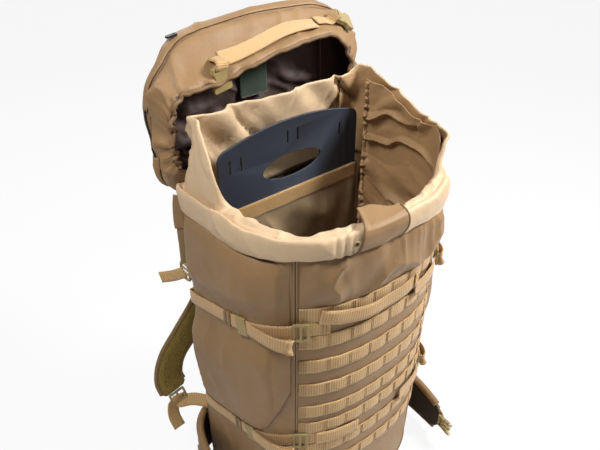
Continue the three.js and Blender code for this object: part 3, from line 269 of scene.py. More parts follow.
def plastic(name, code, rough=0.42, grain=0.00008, edge=None):
    s = Shader(name, rough)
    colour = linear(code)
    grit = s.noise(s.space("Object"), 700.0, 2.0)
    cloud = s.noise(s.space("Object"), 25.0, 2.0)
    shade = s.blend(cloud, tint(colour, 0.88), tint(colour, 1.12))
    # sharp convex edges, found by their pointiness, are painted in the lighter edge colour
    if edge:
        edge_sharpness = s.add("ShaderNodeNewGeometry").outputs["Pointiness"]
        strong = s.math("MULTIPLY", s.math("SUBTRACT", edge_sharpness, 0.51), 14.0)
        node = s.add("ShaderNodeClamp")
        s.link(strong, node.inputs[0])
        shade = s.blend(node.outputs[0], shade, linear(edge))
    s.paint(shade)
    s.relief(grit, grain)
    return s.material


def fuzz(name, code, contrast):
    """Loop side of a touch fastener, or brushed fabric."""
    s = Shader(name, 0.95)
    colour = linear(code)
    loops = s.noise(s.space("Object"), 420.0, 4.0, 1.0)
    s.paint(s.blend(loops, tint(colour, 1 - contrast), tint(colour, 1 + contrast)))
    s.relief(loops, 0.0008)
    s.base.inputs["Sheen Weight"].default_value = 0.5
    return s.material


def spacer(name, code):
    """Open mesh lining over foam."""
    s = Shader(name, 0.9)
    colour = linear(code)
    cells = s.add("ShaderNodeTexVoronoi", Scale=480.0)
    s.link(s.space("Object"), cells.inputs["Vector"])
    # the cell pattern is real, but its colour follows the relief: painted shade in the low holes and painted
    # highlight on the raised mesh
    hole = s.math("MULTIPLY", cells.outputs["Distance"], 1.7)
    s.paint(s.blend(hole, tint(colour, 1.15), tint(colour, 0.55)))
    s.relief(s.math("SUBTRACT", 1.0, hole), 0.0007)
    return s.material


BODY = cloth("body_cloth", "94744F", rough=0.48)
BODY_DARK = cloth("body_cloth_shaded", "7C5F40")
COLLAR = cloth("collar_cloth", "D2B591", rough=0.46, mottle=0.08, crumple=0.0010)
SLEEVE = cloth("sleeve_cloth", "8C775A", mottle=0.2, sheen=0.05)
GUSSET = cloth("gusset_cloth", "AA875F", crumple=0.0014, sheen=0.05)
LINING = cloth("coated_lining", "4E3D38", rough=0.55, mottle=0.15, crumple=0.0018, sheen=0.03,
               crumple_scale=38.0)
TAPE = webbing("strap_webbing", "C9A370")
TAPE_DARK = webbing("seam_tape", "86693F", deep=0.0003)
THREAD = plastic("thread", "A58A62", 0.8)
OLIVE = plastic("tan_plastic", "A08C5C", 0.38)
BLACK = plastic("black_plastic", "18171C", 0.45)
SHEET = plastic("frame_sheet_plastic", "1B1A21", 0.56, 0.0001, "3F4652")
PALE_LOOP = fuzz("pale_loop", "C79F6E", contrast=0.12)
DARK_LOOP = fuzz("dark_loop", "A67F42", contrast=0.3)
GREEN = fuzz("green_loop", "22321F", contrast=0.35)
MESH = spacer("mesh_lining", "A38A45")
# the same mesh lining painted darker: painted shade for faces that turn away from the light
MESH_SHADED = spacer("mesh_lining_painted_shade", "3F3626")

# Making pieces
def finish_piece(name, obj, material, body):
    obj.name = name
    obj.data.materials.clear()
    for m in material if isinstance(material, (list, tuple)) else [material]:
        obj.data.materials.append(m)
    bpy.context.collection.objects.link(obj)
    if body:
        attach(obj, body)
    return obj


def new_mesh(name, points, faces):
    mesh = bpy.data.meshes.new(name)
    mesh.from_pydata(np.asarray(points, float).reshape(-1, 3).tolist(), [], [tuple(f) for f in faces])
    return mesh


def build(name, points, faces, material, body="pack", uv=None, slots=None):
    mesh = new_mesh(name, points, faces)
    if uv is not None:
        layer = mesh.uv_layers.new(name="metres")
        index = np.zeros(len(mesh.loops), np.int32)
        mesh.loops.foreach_get("vertex_index", index)
        layer.data.foreach_set("uv", np.asarray(uv, float).reshape(-1, 2)[index].ravel())
    mesh.polygons.foreach_set("use_smooth", [True] * len(mesh.polygons))
    mesh.update()
    piece = finish_piece(name, bpy.data.objects.new(name, mesh), material, body)
    if slots is not None:
        mesh.polygons.foreach_set("material_index", np.asarray(slots, np.int32))
    return piece


def grid_faces(n, m, start=0, flip=False):
    i, j = np.meshgrid(np.arange(n - 1), np.arange(m - 1), indexing="ij")
    a = start + i * m + j
    quads = np.stack([a, a + m, a + m + 1, a + 1], -1).reshape(-1, 4)
    return quads[:, ::-1] if flip else quads


def grid_normals(p):
    return unit(np.cross(np.gradient(p, axis=0), np.gradient(p, axis=1)))


def slab(face, back):
    """Points and faces of the closed body between two grids of one size."""
    n, m = face.shape[:2]
    size = n * m
    edge = np.concatenate([np.arange(n) * m, (n - 1) * m + np.arange(1, m),
                           np.arange(n - 2, -1, -1) * m + m - 1, np.arange(m - 2, 0, -1)])
    nxt = np.roll(edge, -1)
    faces = [grid_faces(n, m), grid_faces(n, m, size, True),
             np.stack([edge, size + edge, size + nxt, nxt], -1)]
    return np.concatenate([face.reshape(-1, 3), back.reshape(-1, 3)]), np.concatenate(faces)


def shell(p, uv, thick):
    """Points, faces and uv of a sheet with a thickness behind its face."""
    points, faces = slab(p, p - grid_normals(p) * thick)
    return points, faces, np.concatenate([uv.reshape(-1, 2)] * 2)


def sheet_piece(name, p, uv, thick, material, body="pack"):
    points, faces, uvs = shell(p, uv, thick)
    return build(name, points, faces, material, body, uvs)


def many(name, parts, material):
    """One piece from several shells."""
    points, faces, uvs, start = [], [], [], 0
    for p, uv, thick in parts:
        q, f, w = shell(p, uv, thick)
        points.append(q)
        faces.append(f + start)
        uvs.append(w)
        start += len(q)
    return build(name, np.concatenate(points), np.concatenate(faces), material, uv=np.concatenate(uvs))


def mesh_grid(u, v):
    return np.meshgrid(u, v, indexing="ij")


def plane_uv(u, v):
    return np.stack([u, v], -1)


def line_run(line):
    """Distance along a line to each of its places."""
    return np.r_[0, np.cumsum(np.linalg.norm(np.diff(line, axis=0), axis=1))]


def bend(points, count):
    """An even, rounded line through a few places, and the distance along it."""
    p = np.asarray(points, float)
    ends = np.concatenate([[2 * p[0] - p[1]], p, [2 * p[-1] - p[-2]]])
    out = []
    for k in range(1, len(ends) - 2):
        a, b, c, d = ends[k - 1:k + 3]
        t = np.linspace(0, 1, 16, endpoint=False)[:, None]
        out.append(0.5 * (2 * b + (c - a) * t + (2 * a - 5 * b + 4 * c - d) * t ** 2
                          + (3 * b - a - 3 * c + d) * t ** 3))
    line = np.concatenate(out + [p[-1:]])
    run = line_run(line)
    at = np.linspace(0, run[-1], count)
    return np.stack([np.interp(at, run, line[:, k]) for k in range(3)], -1), at


def unit(v):
    v = np.asarray(v, float)
    return v / (np.linalg.norm(v, axis=-1, keepdims=True) + 1e-12)


def band(points, across, wide, count=40, rows=5, ripple=0.0, seed=0):
    """A flat tape along a line: across is its width's direction, at each place or for all of it."""
    line, run = bend(points, count)
    across = np.asarray(across, float)
    if across.ndim == 2:
        steps = np.linspace(0, 1, len(across))
        at = np.linspace(0, 1, count)
        across = np.stack([np.interp(at, steps, across[:, k]) for k in range(3)], -1)
    else:
        across = np.broadcast_to(across, line.shape)
    along = unit(np.gradient(line, axis=0))
    across = unit(across - along * (across * along).sum(-1, keepdims=True))
    out = np.cross(along, across)
    w = np.linspace(-0.5, 0.5, rows)
    u, v = mesh_grid(run, w * wide)
    lift = ripple * noise(u / 0.03, v / 0.05, seed) - EDGE_SAG * np.abs(2 * w) ** 4
    p = line[:, None] + across[:, None] * (w * wide)[None, :, None] + out[:, None] * lift[..., None]
    return p, plane_uv(u, v)


def tape_piece(name, points, across, wide=WEB, material=None, body="pack", thick=WEB_THICK, **more):
    p, uv = band(points, across, wide, **more)
    return sheet_piece(name, p, uv, thick, material or TAPE, body)


def tube(name, points, radius, material, body="pack", count=60, sides=8, squeeze=1.0):
    line, run = bend(points, count)
    along = unit(np.gradient(line, axis=0))
    ref = np.array([0, 0, 1.0]) if abs(along[:, 2]).mean() < 0.8 else np.array([0, 1.0, 0])
    a = unit(np.cross(along, ref))
    b = np.cross(along, a)
    t = np.linspace(0, 2 * PI, sides + 1)
    p = (line[:, None] + a[:, None] * (radius * np.cos(t))[None, :, None]
         + b[:, None] * (radius * squeeze * np.sin(t))[None, :, None])
    u, v = mesh_grid(run, t * radius)
    faces = grid_faces(count, sides + 1).tolist()
    for row, order in ((0, 1), (count - 1, -1)):
        ring = [row * (sides + 1) + k for k in range(sides)]
        faces.append(tuple(ring[::order]))
    return build(name, p, faces, material, body, plane_uv(u, v))


def evaluated(obj):
    graph = bpy.context.evaluated_depsgraph_get()
    return bpy.data.meshes.new_from_object(obj.evaluated_get(graph))


def puff(name, points, faces, material, body, pressure=4.0, cap=0.006, voxel=0.005, frames=14, pin=None,
         slots=None, after=None):
    """A padded piece: remeshed, blown up a little as cloth with its pinned places held, and eased once."""
    obj = bpy.data.objects.new(name, new_mesh(name, points, faces))
    bpy.context.collection.objects.link(obj)
    remesh = obj.modifiers.new("remesh", "REMESH")
    remesh.mode, remesh.voxel_size = "VOXEL", voxel
    obj.data = evaluated(obj)
    obj.modifiers.clear()
    rest = np.array([v.co for v in obj.data.vertices])
    group = obj.vertex_groups.new(name="held")
    held = pin(rest) if pin else np.zeros(len(rest))
    for k, w in enumerate(held):
        if w > 0.02:
            group.add([k], float(min(1, w)), "REPLACE")
    modifier = obj.modifiers.new("cloth", "CLOTH")
    s = modifier.settings
    s.use_pressure, s.uniform_pressure_force = True, pressure
    s.vertex_group_mass = "held"
    s.effector_weights.gravity = 0
    s.tension_stiffness = s.compression_stiffness = 12
    s.bending_stiffness = 0.4
    modifier.collision_settings.use_collision = False
    scene = bpy.context.scene
    for k in range(1, frames + 1):
        scene.frame_set(k)
    moved = np.array([v.co for v in evaluated(obj).vertices])
    scene.frame_set(1)
    obj.modifiers.clear()
    shift = moved - rest
    size = np.linalg.norm(shift, axis=1, keepdims=True)
    rest = rest + shift * np.minimum(1, cap / (size + 1e-9))
    if after:
        rest = after(rest)
    obj.data.vertices.foreach_set("co", rest.ravel())
    obj.data.polygons.foreach_set("use_smooth", [True] * len(obj.data.polygons))
    sub = obj.modifiers.new("ease", "SUBSURF")
    sub.levels = sub.render_levels = 1
    obj.data = evaluated(obj)
    obj.modifiers.clear()
    bpy.context.collection.objects.unlink(obj)
    finish_piece(name, obj, material, None)
    if slots:
        centres = np.array([p.center for p in obj.data.polygons])
        normals = np.array([p.normal for p in obj.data.polygons])
        obj.data.polygons.foreach_set("material_index", np.asarray(slots(centres, normals), np.int32))
    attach(obj, body)
    return obj


def strap_height(l, ends):
    """Middle of a compression strap: its height at the front seam, falling to that at the rear corner."""
    return lerp(ends[0], ends[1], np.clip((np.abs(l) - SEAM) / (CORNER_AT - SEAM), 0, 1))


# Body of the bag
def body_relief(l, z):
    """How far the cloth stands off its plain shape: slack between seams, gathers under the collar."""
    a = np.abs(l)
    seam = np.minimum(np.abs(a - SEAM), np.abs(a - CORNER_AT))
    foot = RIM - np.interp(wrapped(l), *HEM_DROP)
    free = smooth(seam / 0.03) * smooth((foot + 0.006 - z) / 0.024) * smooth((z - BASE) / 0.04)
    fitting = smooth(np.hypot(a - SEAM - 0.088, (z - strap_height(l, HIGH_STRAP))) / 0.05)
    fitting *= smooth(np.hypot(a - SEAM - 0.088, (z - strap_height(l, LOW_STRAP))) / 0.05)
    front = 1 - smooth((a - SEAM + 0.01) / 0.01)
    side = smooth((a - SEAM) / 0.01) * (1 - smooth((a - CORNER_AT) / 0.01))
    upper = smooth((z - 0.46) / 0.06)
    above_rows = smooth((z - 0.531) / 0.012)
    low = 0.0022 * noise(l / 0.11 + 3, z / 0.15, 1) + 0.0012 * noise(l / 0.045, z / 0.06, 2)
    upright = 0.016 * (crease(l / 0.043 + 0.25 * (z - 0.6) / 0.05, z / 0.30, 3, 2.2) - 0.4)
    slant = 0.006 * (crease((l + 0.55 * z) / 0.055, (z - 0.3 * l) / 0.12, 5, 2.5) - 0.35)
    puff_band = 0.009 * np.sin(PI * np.clip((z - 0.530) / (RIM - 0.530), 0, 1)) ** 0.7
    diagonal = 0.0105 * (crease((l - 0.9 * z) / 0.055 + 2.3, (z + l) / 0.13, 7, 2.4) - 0.35)
    tucks = 0.0085 * (crease(l / 0.018, (z - 0.6) / 0.09, 8, 1.8) - 0.4) * np.exp(-(RIM - z) / 0.055)
    gather = 0.0009 * np.sin(l / 0.0042 + 3 * noise(l / 0.02, 0, 9)) * np.exp(-(RIM - z) / 0.045)
    total = low * (1 - 0.75 * front * (1 - above_rows))
    total = total + side * (upright * upper + slant * (1 - upper) * 0.8)
    total = total + front * above_rows * (puff_band + diagonal)
    total = total + (1 - front) * (1 - side) * 0.4 * slant
    ends = smooth(seam / 0.006) * above_rows * smooth((foot - 0.001 - z) / 0.008)
    return np.maximum(total * free * fitting, -0.004) + (gather + tucks) * ends


def body_walls():
    """The four cloth walls of the bag, between their seams."""
    for label, start, end, material in (
            ("front", -SEAM, SEAM, BODY), ("left_side", -CORNER_AT, -SEAM, BODY),
            ("right_side", SEAM, CORNER_AT, BODY),
            ("back", CORNER_AT, 2 * HALF_LENGTH - CORNER_AT, BODY_DARK)):
        count = int((end - start - 2 * GAP) / 0.0035)
        l, z = mesh_grid(np.linspace(start + GAP, end - GAP, count), np.linspace(BASE + GAP, RIM, 190))
        p = wall(l, z, body_relief(l, z))
        piece = sheet_piece(f"{label}_cloth", p, plane_uv(l, z), WALL_THICK, material)
        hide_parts(f"{label}_panel")


def seam_lines():
    """Upright seams: two ridges of cloth that meet, with a thin dark tube between them in front as painted
    shade in the gap.
    """
    z = np.linspace(BASE + 0.002, RIM - 0.004, 150)
    for side, sign in SIDES:
        for label, at in (("front", SEAM), ("rear", CORNER_AT)):
            for k, shift in enumerate((-0.0021, 0.0021)):
                p = wall(sign * (at + shift), z, 0.0003 + 0.0003 * noise(z / 0.012, 0, 11 + k))
                tube(f"{side}_{label}_seam_{k + 1}", p[::3], 0.0018, BODY, count=130, sides=6)
    # a thin dark tube of lining down each front seam: painted shade in the gap between the ridges
    for side, sign in SIDES:
        p = wall(sign * SEAM, z, -0.0006)
        tube(f"{side}_front_seam_gap", p[::3], 0.0009, LINING, count=120, sides=5)


def base_pan():
    """Foot of the bag: its flat, from near the middle outwards, and the turned-up rim."""
    l = np.linspace(-HALF_LENGTH, HALF_LENGTH, 260)
    side = wall(*mesh_grid(l, np.array([0, 0.001, 0.003, 0.006, 0.01, 0.016, 0.024, 0.032, BASE])))
    rings = [side[:, 0] * (1 - f) for f in (0.999, 0.66, 0.33, 0.12)]
    p = np.concatenate([np.stack(rings, 1), side], 1)
    uv = plane_uv(*mesh_grid(l, np.linspace(-0.2, BASE, p.shape[1])))
    piece = sheet_piece("base_cloth", p, uv, 0.0025, BODY_DARK)
    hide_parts("base_panel")
    tube("base_seam", wall(l[::6], BASE, 0.0004), 0.0017, TAPE_DARK, count=300, sides=6)


# Webbing grid on the front
def stitch_lift(l, seed):
    """The tape's rise between its stitches."""
    across = np.abs((l % STITCH + STITCH) % STITCH - STITCH / 2)
    share = 1 - across / (STITCH / 2 - 0.003)
    slack = 0.7 + 0.6 * lattice(np.floor(l / STITCH), seed, 4)
    ends = np.clip(np.minimum(l + SEAM - 0.005, SEAM - 0.005 - l) / 0.019, 0, 1)
    return 0.0008 * slack * smooth(share) * ends


def front_rows():
    tacks = []
    for k, middle in enumerate(ROWS):
        lg, wg = mesh_grid(np.linspace(-SEAM + 0.005, SEAM - 0.005, 190), np.linspace(-0.5, 0.5, 7))
        lift = stitch_lift(lg, k)
        droop = 0.0006 * np.sin(PI * np.clip(lift / 0.003, 0, 1)) * (0.5 - wg) * 0.5
        zg = middle + wg * WEB + 0.0006 * noise(lg / 0.05, k * 3.1, 21)
        off = GAP + WEB_THICK + lift + droop - EDGE_SAG * np.abs(2 * wg) ** 4 + body_relief(lg, zg) * 0.6
        piece = sheet_piece(f"row_{k + 1}", wall(lg, zg, off), plane_uv(lg, zg), WEB_THICK, TAPE)
        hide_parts(f"webbing_row_{k + 1}")
        for at in (-SEAM + 0.008, *(STITCH * np.arange(-4, 5)), SEAM - 0.008):
            for shift in (-0.0016, 0.0016):
                tl, tw = mesh_grid(at + shift + np.linspace(-0.0006, 0.0006, 3), np.linspace(-0.47, 0.47, 9))
                bump = 0.0004 * (1 - np.abs(tl - at - shift) / 0.0009)
                tacks.append((wall(tl, middle + tw * WEB, GAP + WEB_THICK + 0.0001 + bump),
                              plane_uv(tl, tw * WEB), 0.0006))
    many("row_stitches", tacks, THREAD)


# Side pockets and compression straps
POCKET_FROM, POCKET_TO, POCKET_TOP = SEAM + 0.007, CORNER_AT - 0.007, 0.612
POCKET_ROUND = 0.026
KEEPERS_AT, KEEPER_STEP = SEAM + 0.120, 0.010  # beyond the reach of the sliders
LOOP_REACH = SEAM + np.array([0.082, 0.068, 0.052, 0.034, 0.018, 0.0075, 0.004, 0.0085, 0.020, 0.034, 0.046])
LOOP_DROP = np.array([0, -0.002, -0.007, -0.014, -0.019, -0.0205, -0.0175, -0.0125, -0.0085, -0.0045, -0.002])
LOOP_OUT = np.array([0.0012, 0.004, 0.0055, 0.0060, 0.0065, 0.0075, 0.0120, 0.0155, 0.0150, 0.0125, 0.0085])
TAIL_REACH = SEAM - np.array([0.036, 0.060, 0.085, 0.115, 0.150, 0.190, 0.215])
TAIL_HEIGHT = np.array([0.5190, 0.5150, 0.5095, 0.5060, 0.5055, 0.5085, 0.5130])


def pocket_foot(l):
    """Height of a side pocket's lower edge, rounded at its corners and rising towards the front."""
    a = np.abs(l)
    edge = np.minimum(a - POCKET_FROM, POCKET_TO - a)
    inside = np.clip(edge / POCKET_ROUND, 0, 1)
    rounding = POCKET_ROUND * (1 - np.sqrt(np.clip(1 - (1 - inside) ** 2, 0, 1)))
    fore = 0.070 * (1 - smooth((a - POCKET_FROM) / 0.062)) ** 1.2
    return strap_height(l, LOW_STRAP) + 0.0186 + rounding + fore


def pocket_off(l, z):
    """How far a side pocket stands off the wall: full, pleated and pressed in by the upper strap."""
    foot = pocket_foot(l)
    a = np.abs(l)
    u = np.clip((a - POCKET_FROM) / (POCKET_TO - POCKET_FROM), 0, 1)
    v = np.clip((z - foot) / (POCKET_TOP - foot), 0, 1)
    across = 1 - np.abs(2 * u - 1) ** 3.0
    upward = np.sqrt(np.maximum(0, 1 - np.abs(2 * v - 1) ** 3.2))
    press = smooth((np.abs(z - strap_height(l, HIGH_STRAP)) - 0.016) / 0.055)
    room = np.minimum(1, 12 * np.minimum(u, 1 - u)) * np.minimum(1, 14 * np.minimum(v, 1 - v) + 0.08)
    body = 0.0010 + 0.0036 * room
    pleat = 0.0050 * np.exp(-((a - POCKET_FROM - 0.027) / 0.0035) ** 2) * smooth((0.47 - z) / 0.03)
    slack = 0.0065 * (crease((l + 0.22 * z) / 0.052 + 1.2, z / 0.24, 31, 2.4) - 0.35)
    slack = slack + 0.0028 * noise(l / 0.07, z / 0.09, 33) + 0.0014 * noise(l / 0.03, z / 0.035, 34)
    pulled = 0.0055 * (crease((l * 0.4 + z) / 0.030 + 0.4, l / 0.08, 35, 2.0) - 0.4)
    upright = 0.0075 * (crease(a / 0.036 + 0.3, z / 0.30, 36, 2.0) - 0.4) * smooth((z - 0.50) / 0.05)
    near = np.exp(-np.abs(z - strap_height(l, HIGH_STRAP)) / 0.035)
    soft = np.minimum(1, 8 * np.minimum(u, 1 - u)) * np.minimum(1, 8 * np.minimum(v, 1 - v))
    full = np.where(l < 0, 0.018, 0.025)
    ease = slack * (1 - smooth((z - 0.48) / 0.05)) + upright + pulled * near * 0.7 - pleat
    return body + full * across * upward * press + ease * soft * (0.3 + 0.7 * press)


def side_pockets():
    for side, sign in SIDES:
        l = np.sort(sign * np.linspace(POCKET_FROM, POCKET_TO, 84))
        lg, vg = mesh_grid(l, np.linspace(0, 1, 140))
        zg = lerp(pocket_foot(lg), POCKET_TOP, vg)
        p = wall(lg, zg, pocket_off(lg, zg))
        piece = sheet_piece(f"{side}_pocket", p, plane_uv(lg, zg), 0.0015, BODY)
        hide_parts(f"{side}_side_pocket")
        edge_l = sign * np.linspace(POCKET_FROM + 0.001, POCKET_TO - 0.001, 60)
        foot = wall(edge_l, pocket_foot(edge_l) + 0.001, 0.0018)
        tube(f"{side}_pocket_foot_seam", foot[::3], 0.0015, BODY_DARK, count=90, sides=6)


def upper_seat(l):
    """Where the upper straps lie: on the pressed pocket, and on the wall before and behind it."""
    a = np.abs(l)
    on = smooth((a - SEAM + 0.006) / 0.010)
    off = smooth((a - POCKET_TO - 0.002) / 0.006)
    return lerp(GAP, 0.0049, on) * (1 - off) + GAP * off


def lower_seat(l):
    return GAP + 0 * l


def tail_piece(name, sign, heights, offs, **more):
    """Loose end of a strap that lies over the front."""
    line = wall(sign * TAIL_REACH[:len(offs)], heights, offs)
    tape_piece(f"{name}_tail", line, (0, 0, 1), WEB, thick=0.0017, **more)


def compression_straps():
    tacks = []
    w = np.linspace(-0.5, 0.5, 7)
    for level, ends, seat, relief, base in (("upper", HIGH_STRAP, upper_seat, 0.0, 0.0065),
                                            ("lower", LOW_STRAP, lower_seat, 0.5, 0.0045)):
        for side, sign in SIDES:
            lg, wg = mesh_grid(np.sort(sign * np.linspace(SEAM - 0.052, CORNER_AT + 0.010, 110)), w)
            zg = strap_height(lg, ends) + wg * WEB
            off = seat(lg) + WEB_THICK - EDGE_SAG * np.abs(2 * wg) ** 4 + 0.0005 * noise(lg / 0.03, wg, 41)
            off = off + relief * body_relief(lg, zg)
            piece = sheet_piece(f"{level}_{side}_tape", wall(lg, zg, off), plane_uv(lg, zg), WEB_THICK, TAPE)
            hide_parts(f"{level}_{side}_strap")
            for at in (SEAM - 0.046, SEAM - 0.040, CORNER_AT + 0.004):
                tl, tw = mesh_grid(sign * at + np.linspace(-0.0008, 0.0008, 3), np.linspace(-0.46, 0.46, 7))
                place = wall(tl, strap_height(tl, ends) + tw * WEB, seat(tl) + WEB_THICK + 0.0005)
                tacks.append((place, plane_uv(tl, tw), 0.0006))
            # the doubled end between slider and ladder buckle: down over the cloth, folded and up again
            z = strap_height(sign * LOOP_REACH, ends) + LOOP_DROP
            line = wall(sign * LOOP_REACH, z, LOOP_OUT + base)
            loop = tape_piece(f"{level}_{side}_loop", line, (0, 0, 1), WEB * 0.96, TAPE, None, thick=0.0016,
                              count=90, ripple=0.0006, seed=3)
            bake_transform(loop)
            # elastic keepers behind the slider
            for k in range(2):
                at = sign * (KEEPERS_AT + KEEPER_STEP * k)
                kl, kw = mesh_grid(at + np.linspace(-0.0036, 0.0036, 7), np.linspace(-0.56, 0.56, 9))
                crown = 0.0016 * np.sqrt(np.clip(1 - ((kl - at) / 0.004) ** 2, 0, 1))
                turn = -0.0026 * smooth((np.abs(kw) - 0.50) / 0.06)
                p = wall(kl, strap_height(kl, ends) + kw * WEB, seat(kl) + WEB_THICK + 0.0008 + crown + turn)
                sheet_piece(f"{level}_{side}_keeper_{k + 1}", p, plane_uv(kl, kw * WEB), 0.0012, TAPE_DARK)
    many("strap_stitches", tacks, THREAD)
    tail_piece("upper_left", -1, TAIL_HEIGHT, [0.0055, 0.0085, 0.0072, 0.0082, 0.0070, 0.0078, 0.0072],
               count=110, ripple=0.0010, seed=9)
    reach, z = TAIL_REACH[-1], TAIL_HEIGHT[-1]
    fold = wall([-reach - 0.004, -reach + 0.004], [z, z - 0.0005], 0.0096)
    tape_piece("upper_left_tail_fold", fold, (0, 0, 1), WEB, thick=0.0028, count=8)
    tail_piece("upper_right", 1, 0.4950 - np.array([0, 0.001, 0.0025, 0.004]),
               [0.0052, 0.0062, 0.0058, 0.0062], count=60, ripple=0.0008, seed=10)
    for side, sign in SIDES:
        tail_piece(f"lower_{side}", sign, 0.2535 - np.array([0, 0.0005, 0.0012, 0.002]),
                   [0.0046, 0.0056, 0.0052, 0.0058], count=60, ripple=0.0006, seed=12)


# Collar
LEFT_RISE = ([0, 0.180, 0.290, 0.310, 0.330, 0.350, 0.370, 0.390, 0.405, 0.420, 0.450, 0.48, 0.595],
             [0.013, 0.017, 0.012, 0.040, 0.078, 0.106, 0.119, 0.124, 0.121, 0.116, 0.112, 0.110, 0.1145])
RIGHT_RISE = ([0, 0.03, 0.07, 0.12, 0.14, 0.16, 0.18, 0.22, 0.26, 0.30, 0.34, 0.36, 0.38, 0.40, 0.42, 0.45,
               0.595],
              [0.013, 0.014, 0.024, 0.022, 0.030, 0.056, 0.0765, 0.0755, 0.085, 0.100, 0.115, 0.1195, 0.124,
               0.1235, 0.1135, 0.111, 0.1145])
HEM_DROP = ([-0.40, -0.34, -0.27, -0.20, -0.166, -0.12, 0.03, 0.12],
            [0.036, 0.034, 0.029, 0.021, 0.0180, 0.0175, 0.019, 0.032])
COLLAR_FROM = -HALF_LENGTH - 0.157
COLLAR_FOOT = 0.598
TAB_REACH, TAB_HALF = -0.039, 0.039
GUSSET_FROM, GUSSET_TO, GUSSET_FOOT = 0.168, 0.375, 0.440
EYELET_RADIUS = 0.0036


def collar_rise(l):
    """Height of the collar's upper edge over the rim."""
    w = wrapped(l)
    plain = np.where(w < 0, np.interp(-w, *LEFT_RISE), np.interp(w, *RIGHT_RISE))
    standing = smooth((plain - 0.05) / 0.05)
    return plain + standing * (0.0028 * noise(l / 0.07, 0, 51) + 0.0012 * noise(l / 0.02, 0, 52))


def collar_fold(l, z):
    """Folds of the standing cloth."""
    w = wrapped(l)
    a = np.abs(w)
    high = np.clip((z - RIM) / 0.12, 0, 1)
    back = smooth((a - 0.395) / 0.03)
    slant = 0.021 * (crease((l - 0.9 * (z - RIM)) / 0.050 + 0.35, (z - RIM) / 0.30, 53, 2.6) - 0.45)
    small = 0.0075 * (crease((l + 0.7 * (z - RIM)) / 0.034, (z - RIM) / 0.08, 54, 2.0) - 0.4)
    side = 0.012 * (crease((z - RIM + 0.35 * l) / 0.032, l / 0.08, 55, 1.8) - 0.5)
    right = smooth(w / 0.05) * smooth((a - 0.12) / 0.05) * (1 - back)
    left = (1 - smooth(w / 0.05)) * (1 - back)
    total = back * (slant + small) + right * (side + small) + left * 0.35 * (small + side)
    return total * smooth(high * 1.8)


def collar_lean(l, z):
    """The standing cloth leans a little over the opening."""
    w = wrapped(l)
    lean = 0.004 + 0.010 * smooth((np.abs(w) - 0.41) / 0.04) + 0.015 * np.exp(-((w + 0.400) / 0.045) ** 2)
    return lean * np.clip((z - RIM) / 0.12, 0, 1)


def eased(values, times):
    """The same columns, each evened out with its neighbours."""
    for _ in range(times):
        values[:, 1:-1] = (values[:, :-2] + 2 * values[:, 1:-1] + values[:, 2:]) / 4
    return values


def squash_with_lid(piece):
    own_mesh(piece)


def collar_section(l):
    """Distance off the wall and height of every column: the inner face, the fold, the crease and the hem."""
    rise = collar_rise(l)
    stand = smooth((rise - 0.018) / 0.045)
    top = RIM + rise
    w = wrapped(l)
    reach = 0.015 + 0.005 * noise(l / 0.07, 0, 56) + 0.003 * noise(l / 0.025, 0, 57)
    reach = reach - 0.011 * np.exp(-((w + 0.150) / 0.024) ** 2) + 0.004 * np.exp(-((w + 0.215) / 0.04) ** 2)
    reach = reach * (1 - 0.35 * smooth((w + 0.02) / 0.05))
    notch = 0.0085 * smooth((-w - 0.150) / 0.03) + 0.0010
    o = 0 * l
    drop = np.interp(w, *HEM_DROP)
    slit = 0.012 * smooth((-w - 0.175) / 0.05) * (1 - smooth((-w - 0.405) / 0.02))
    tip = 0.004 * noise(l / 0.05, 0.4, 58)
    rolled = [
        (-0.0065 + o, COLLAR_FOOT + o), (-0.0066 + o, RIM - 0.014 + o),
        (-0.010 - 0.4 * reach, RIM - 0.003 + 0.4 * tip), (-0.004 - reach, RIM + 0.0015 + tip),
        (-0.0065 - reach, RIM + 0.0045 + tip), (-0.0035 - reach, RIM + 0.0078 + tip),
        (-0.004 - 0.55 * reach, RIM + 0.0118 + 0.6 * tip), (-0.0035 + o, RIM + 0.0128 - notch * 0.5),
        (-0.0012 + o, RIM + 0.0118 - notch - 0.4 * slit),
        (0.0010 + o, RIM + 0.0125 - notch * 0.6 - 0.3 * slit), (0.0040 + o, RIM + 0.0135 + 0.1 * slit),
        (0.0072 + o, RIM + 0.0105 + o), (0.0084 + o, RIM + 0.004 + o), (0.0080 + o, RIM - 0.45 * drop),
        (0.0050 + o, RIM - drop)]
    standing = [
        (-0.0065 + o, COLLAR_FOOT + o), (-0.0068 + o, lerp(COLLAR_FOOT, top, 0.4)),
        (-0.0068 + o, lerp(COLLAR_FOOT, top, 0.75)), (-0.0066 + o, top - 0.004), (-0.0060 + o, top - 0.0012),
        (-0.0045 + o, top), (-0.0032 + o, top - 0.0018), (-0.0026 + o, lerp(top, RIM, 0.5)),
        (-0.0024 + o, RIM + 0.009 + o), (-0.0012 + o, RIM + 0.0045 - 0.4 * slit),
        (0.0030 + 0.2 * slit, RIM + 0.0048 + 0.7 * slit), (0.0052 + 0.2 * slit, RIM + 0.0015 + 0.5 * slit),
        (0.0060 + o, RIM - 0.006 + o),
        (0.0056 + o, RIM - 0.016 + o), (0.0042 + o, RIM - 0.029 + o)]
    spread = [0, 8, 14, 20, 24, 28, 34, 42, 45, 48, 51, 54, 57, 64, 72]
    columns = []
    for k in range(len(spread) - 1):
        a = [lerp(rolled[k][i], standing[k][i], stand) for i in (0, 1)]
        b = [lerp(rolled[k + 1][i], standing[k + 1][i], stand) for i in (0, 1)]
        for f in np.linspace(0, 1, spread[k + 1] - spread[k], endpoint=False):
            columns.append((lerp(a[0], b[0], f), lerp(a[1], b[1], f)))
    columns.append(tuple(lerp(rolled[-1][i], standing[-1][i], stand) for i in (0, 1)))
    off, z = (eased(np.stack([c[i] for c in columns], 1), 2) for i in (0, 1))
    return off, z, stand


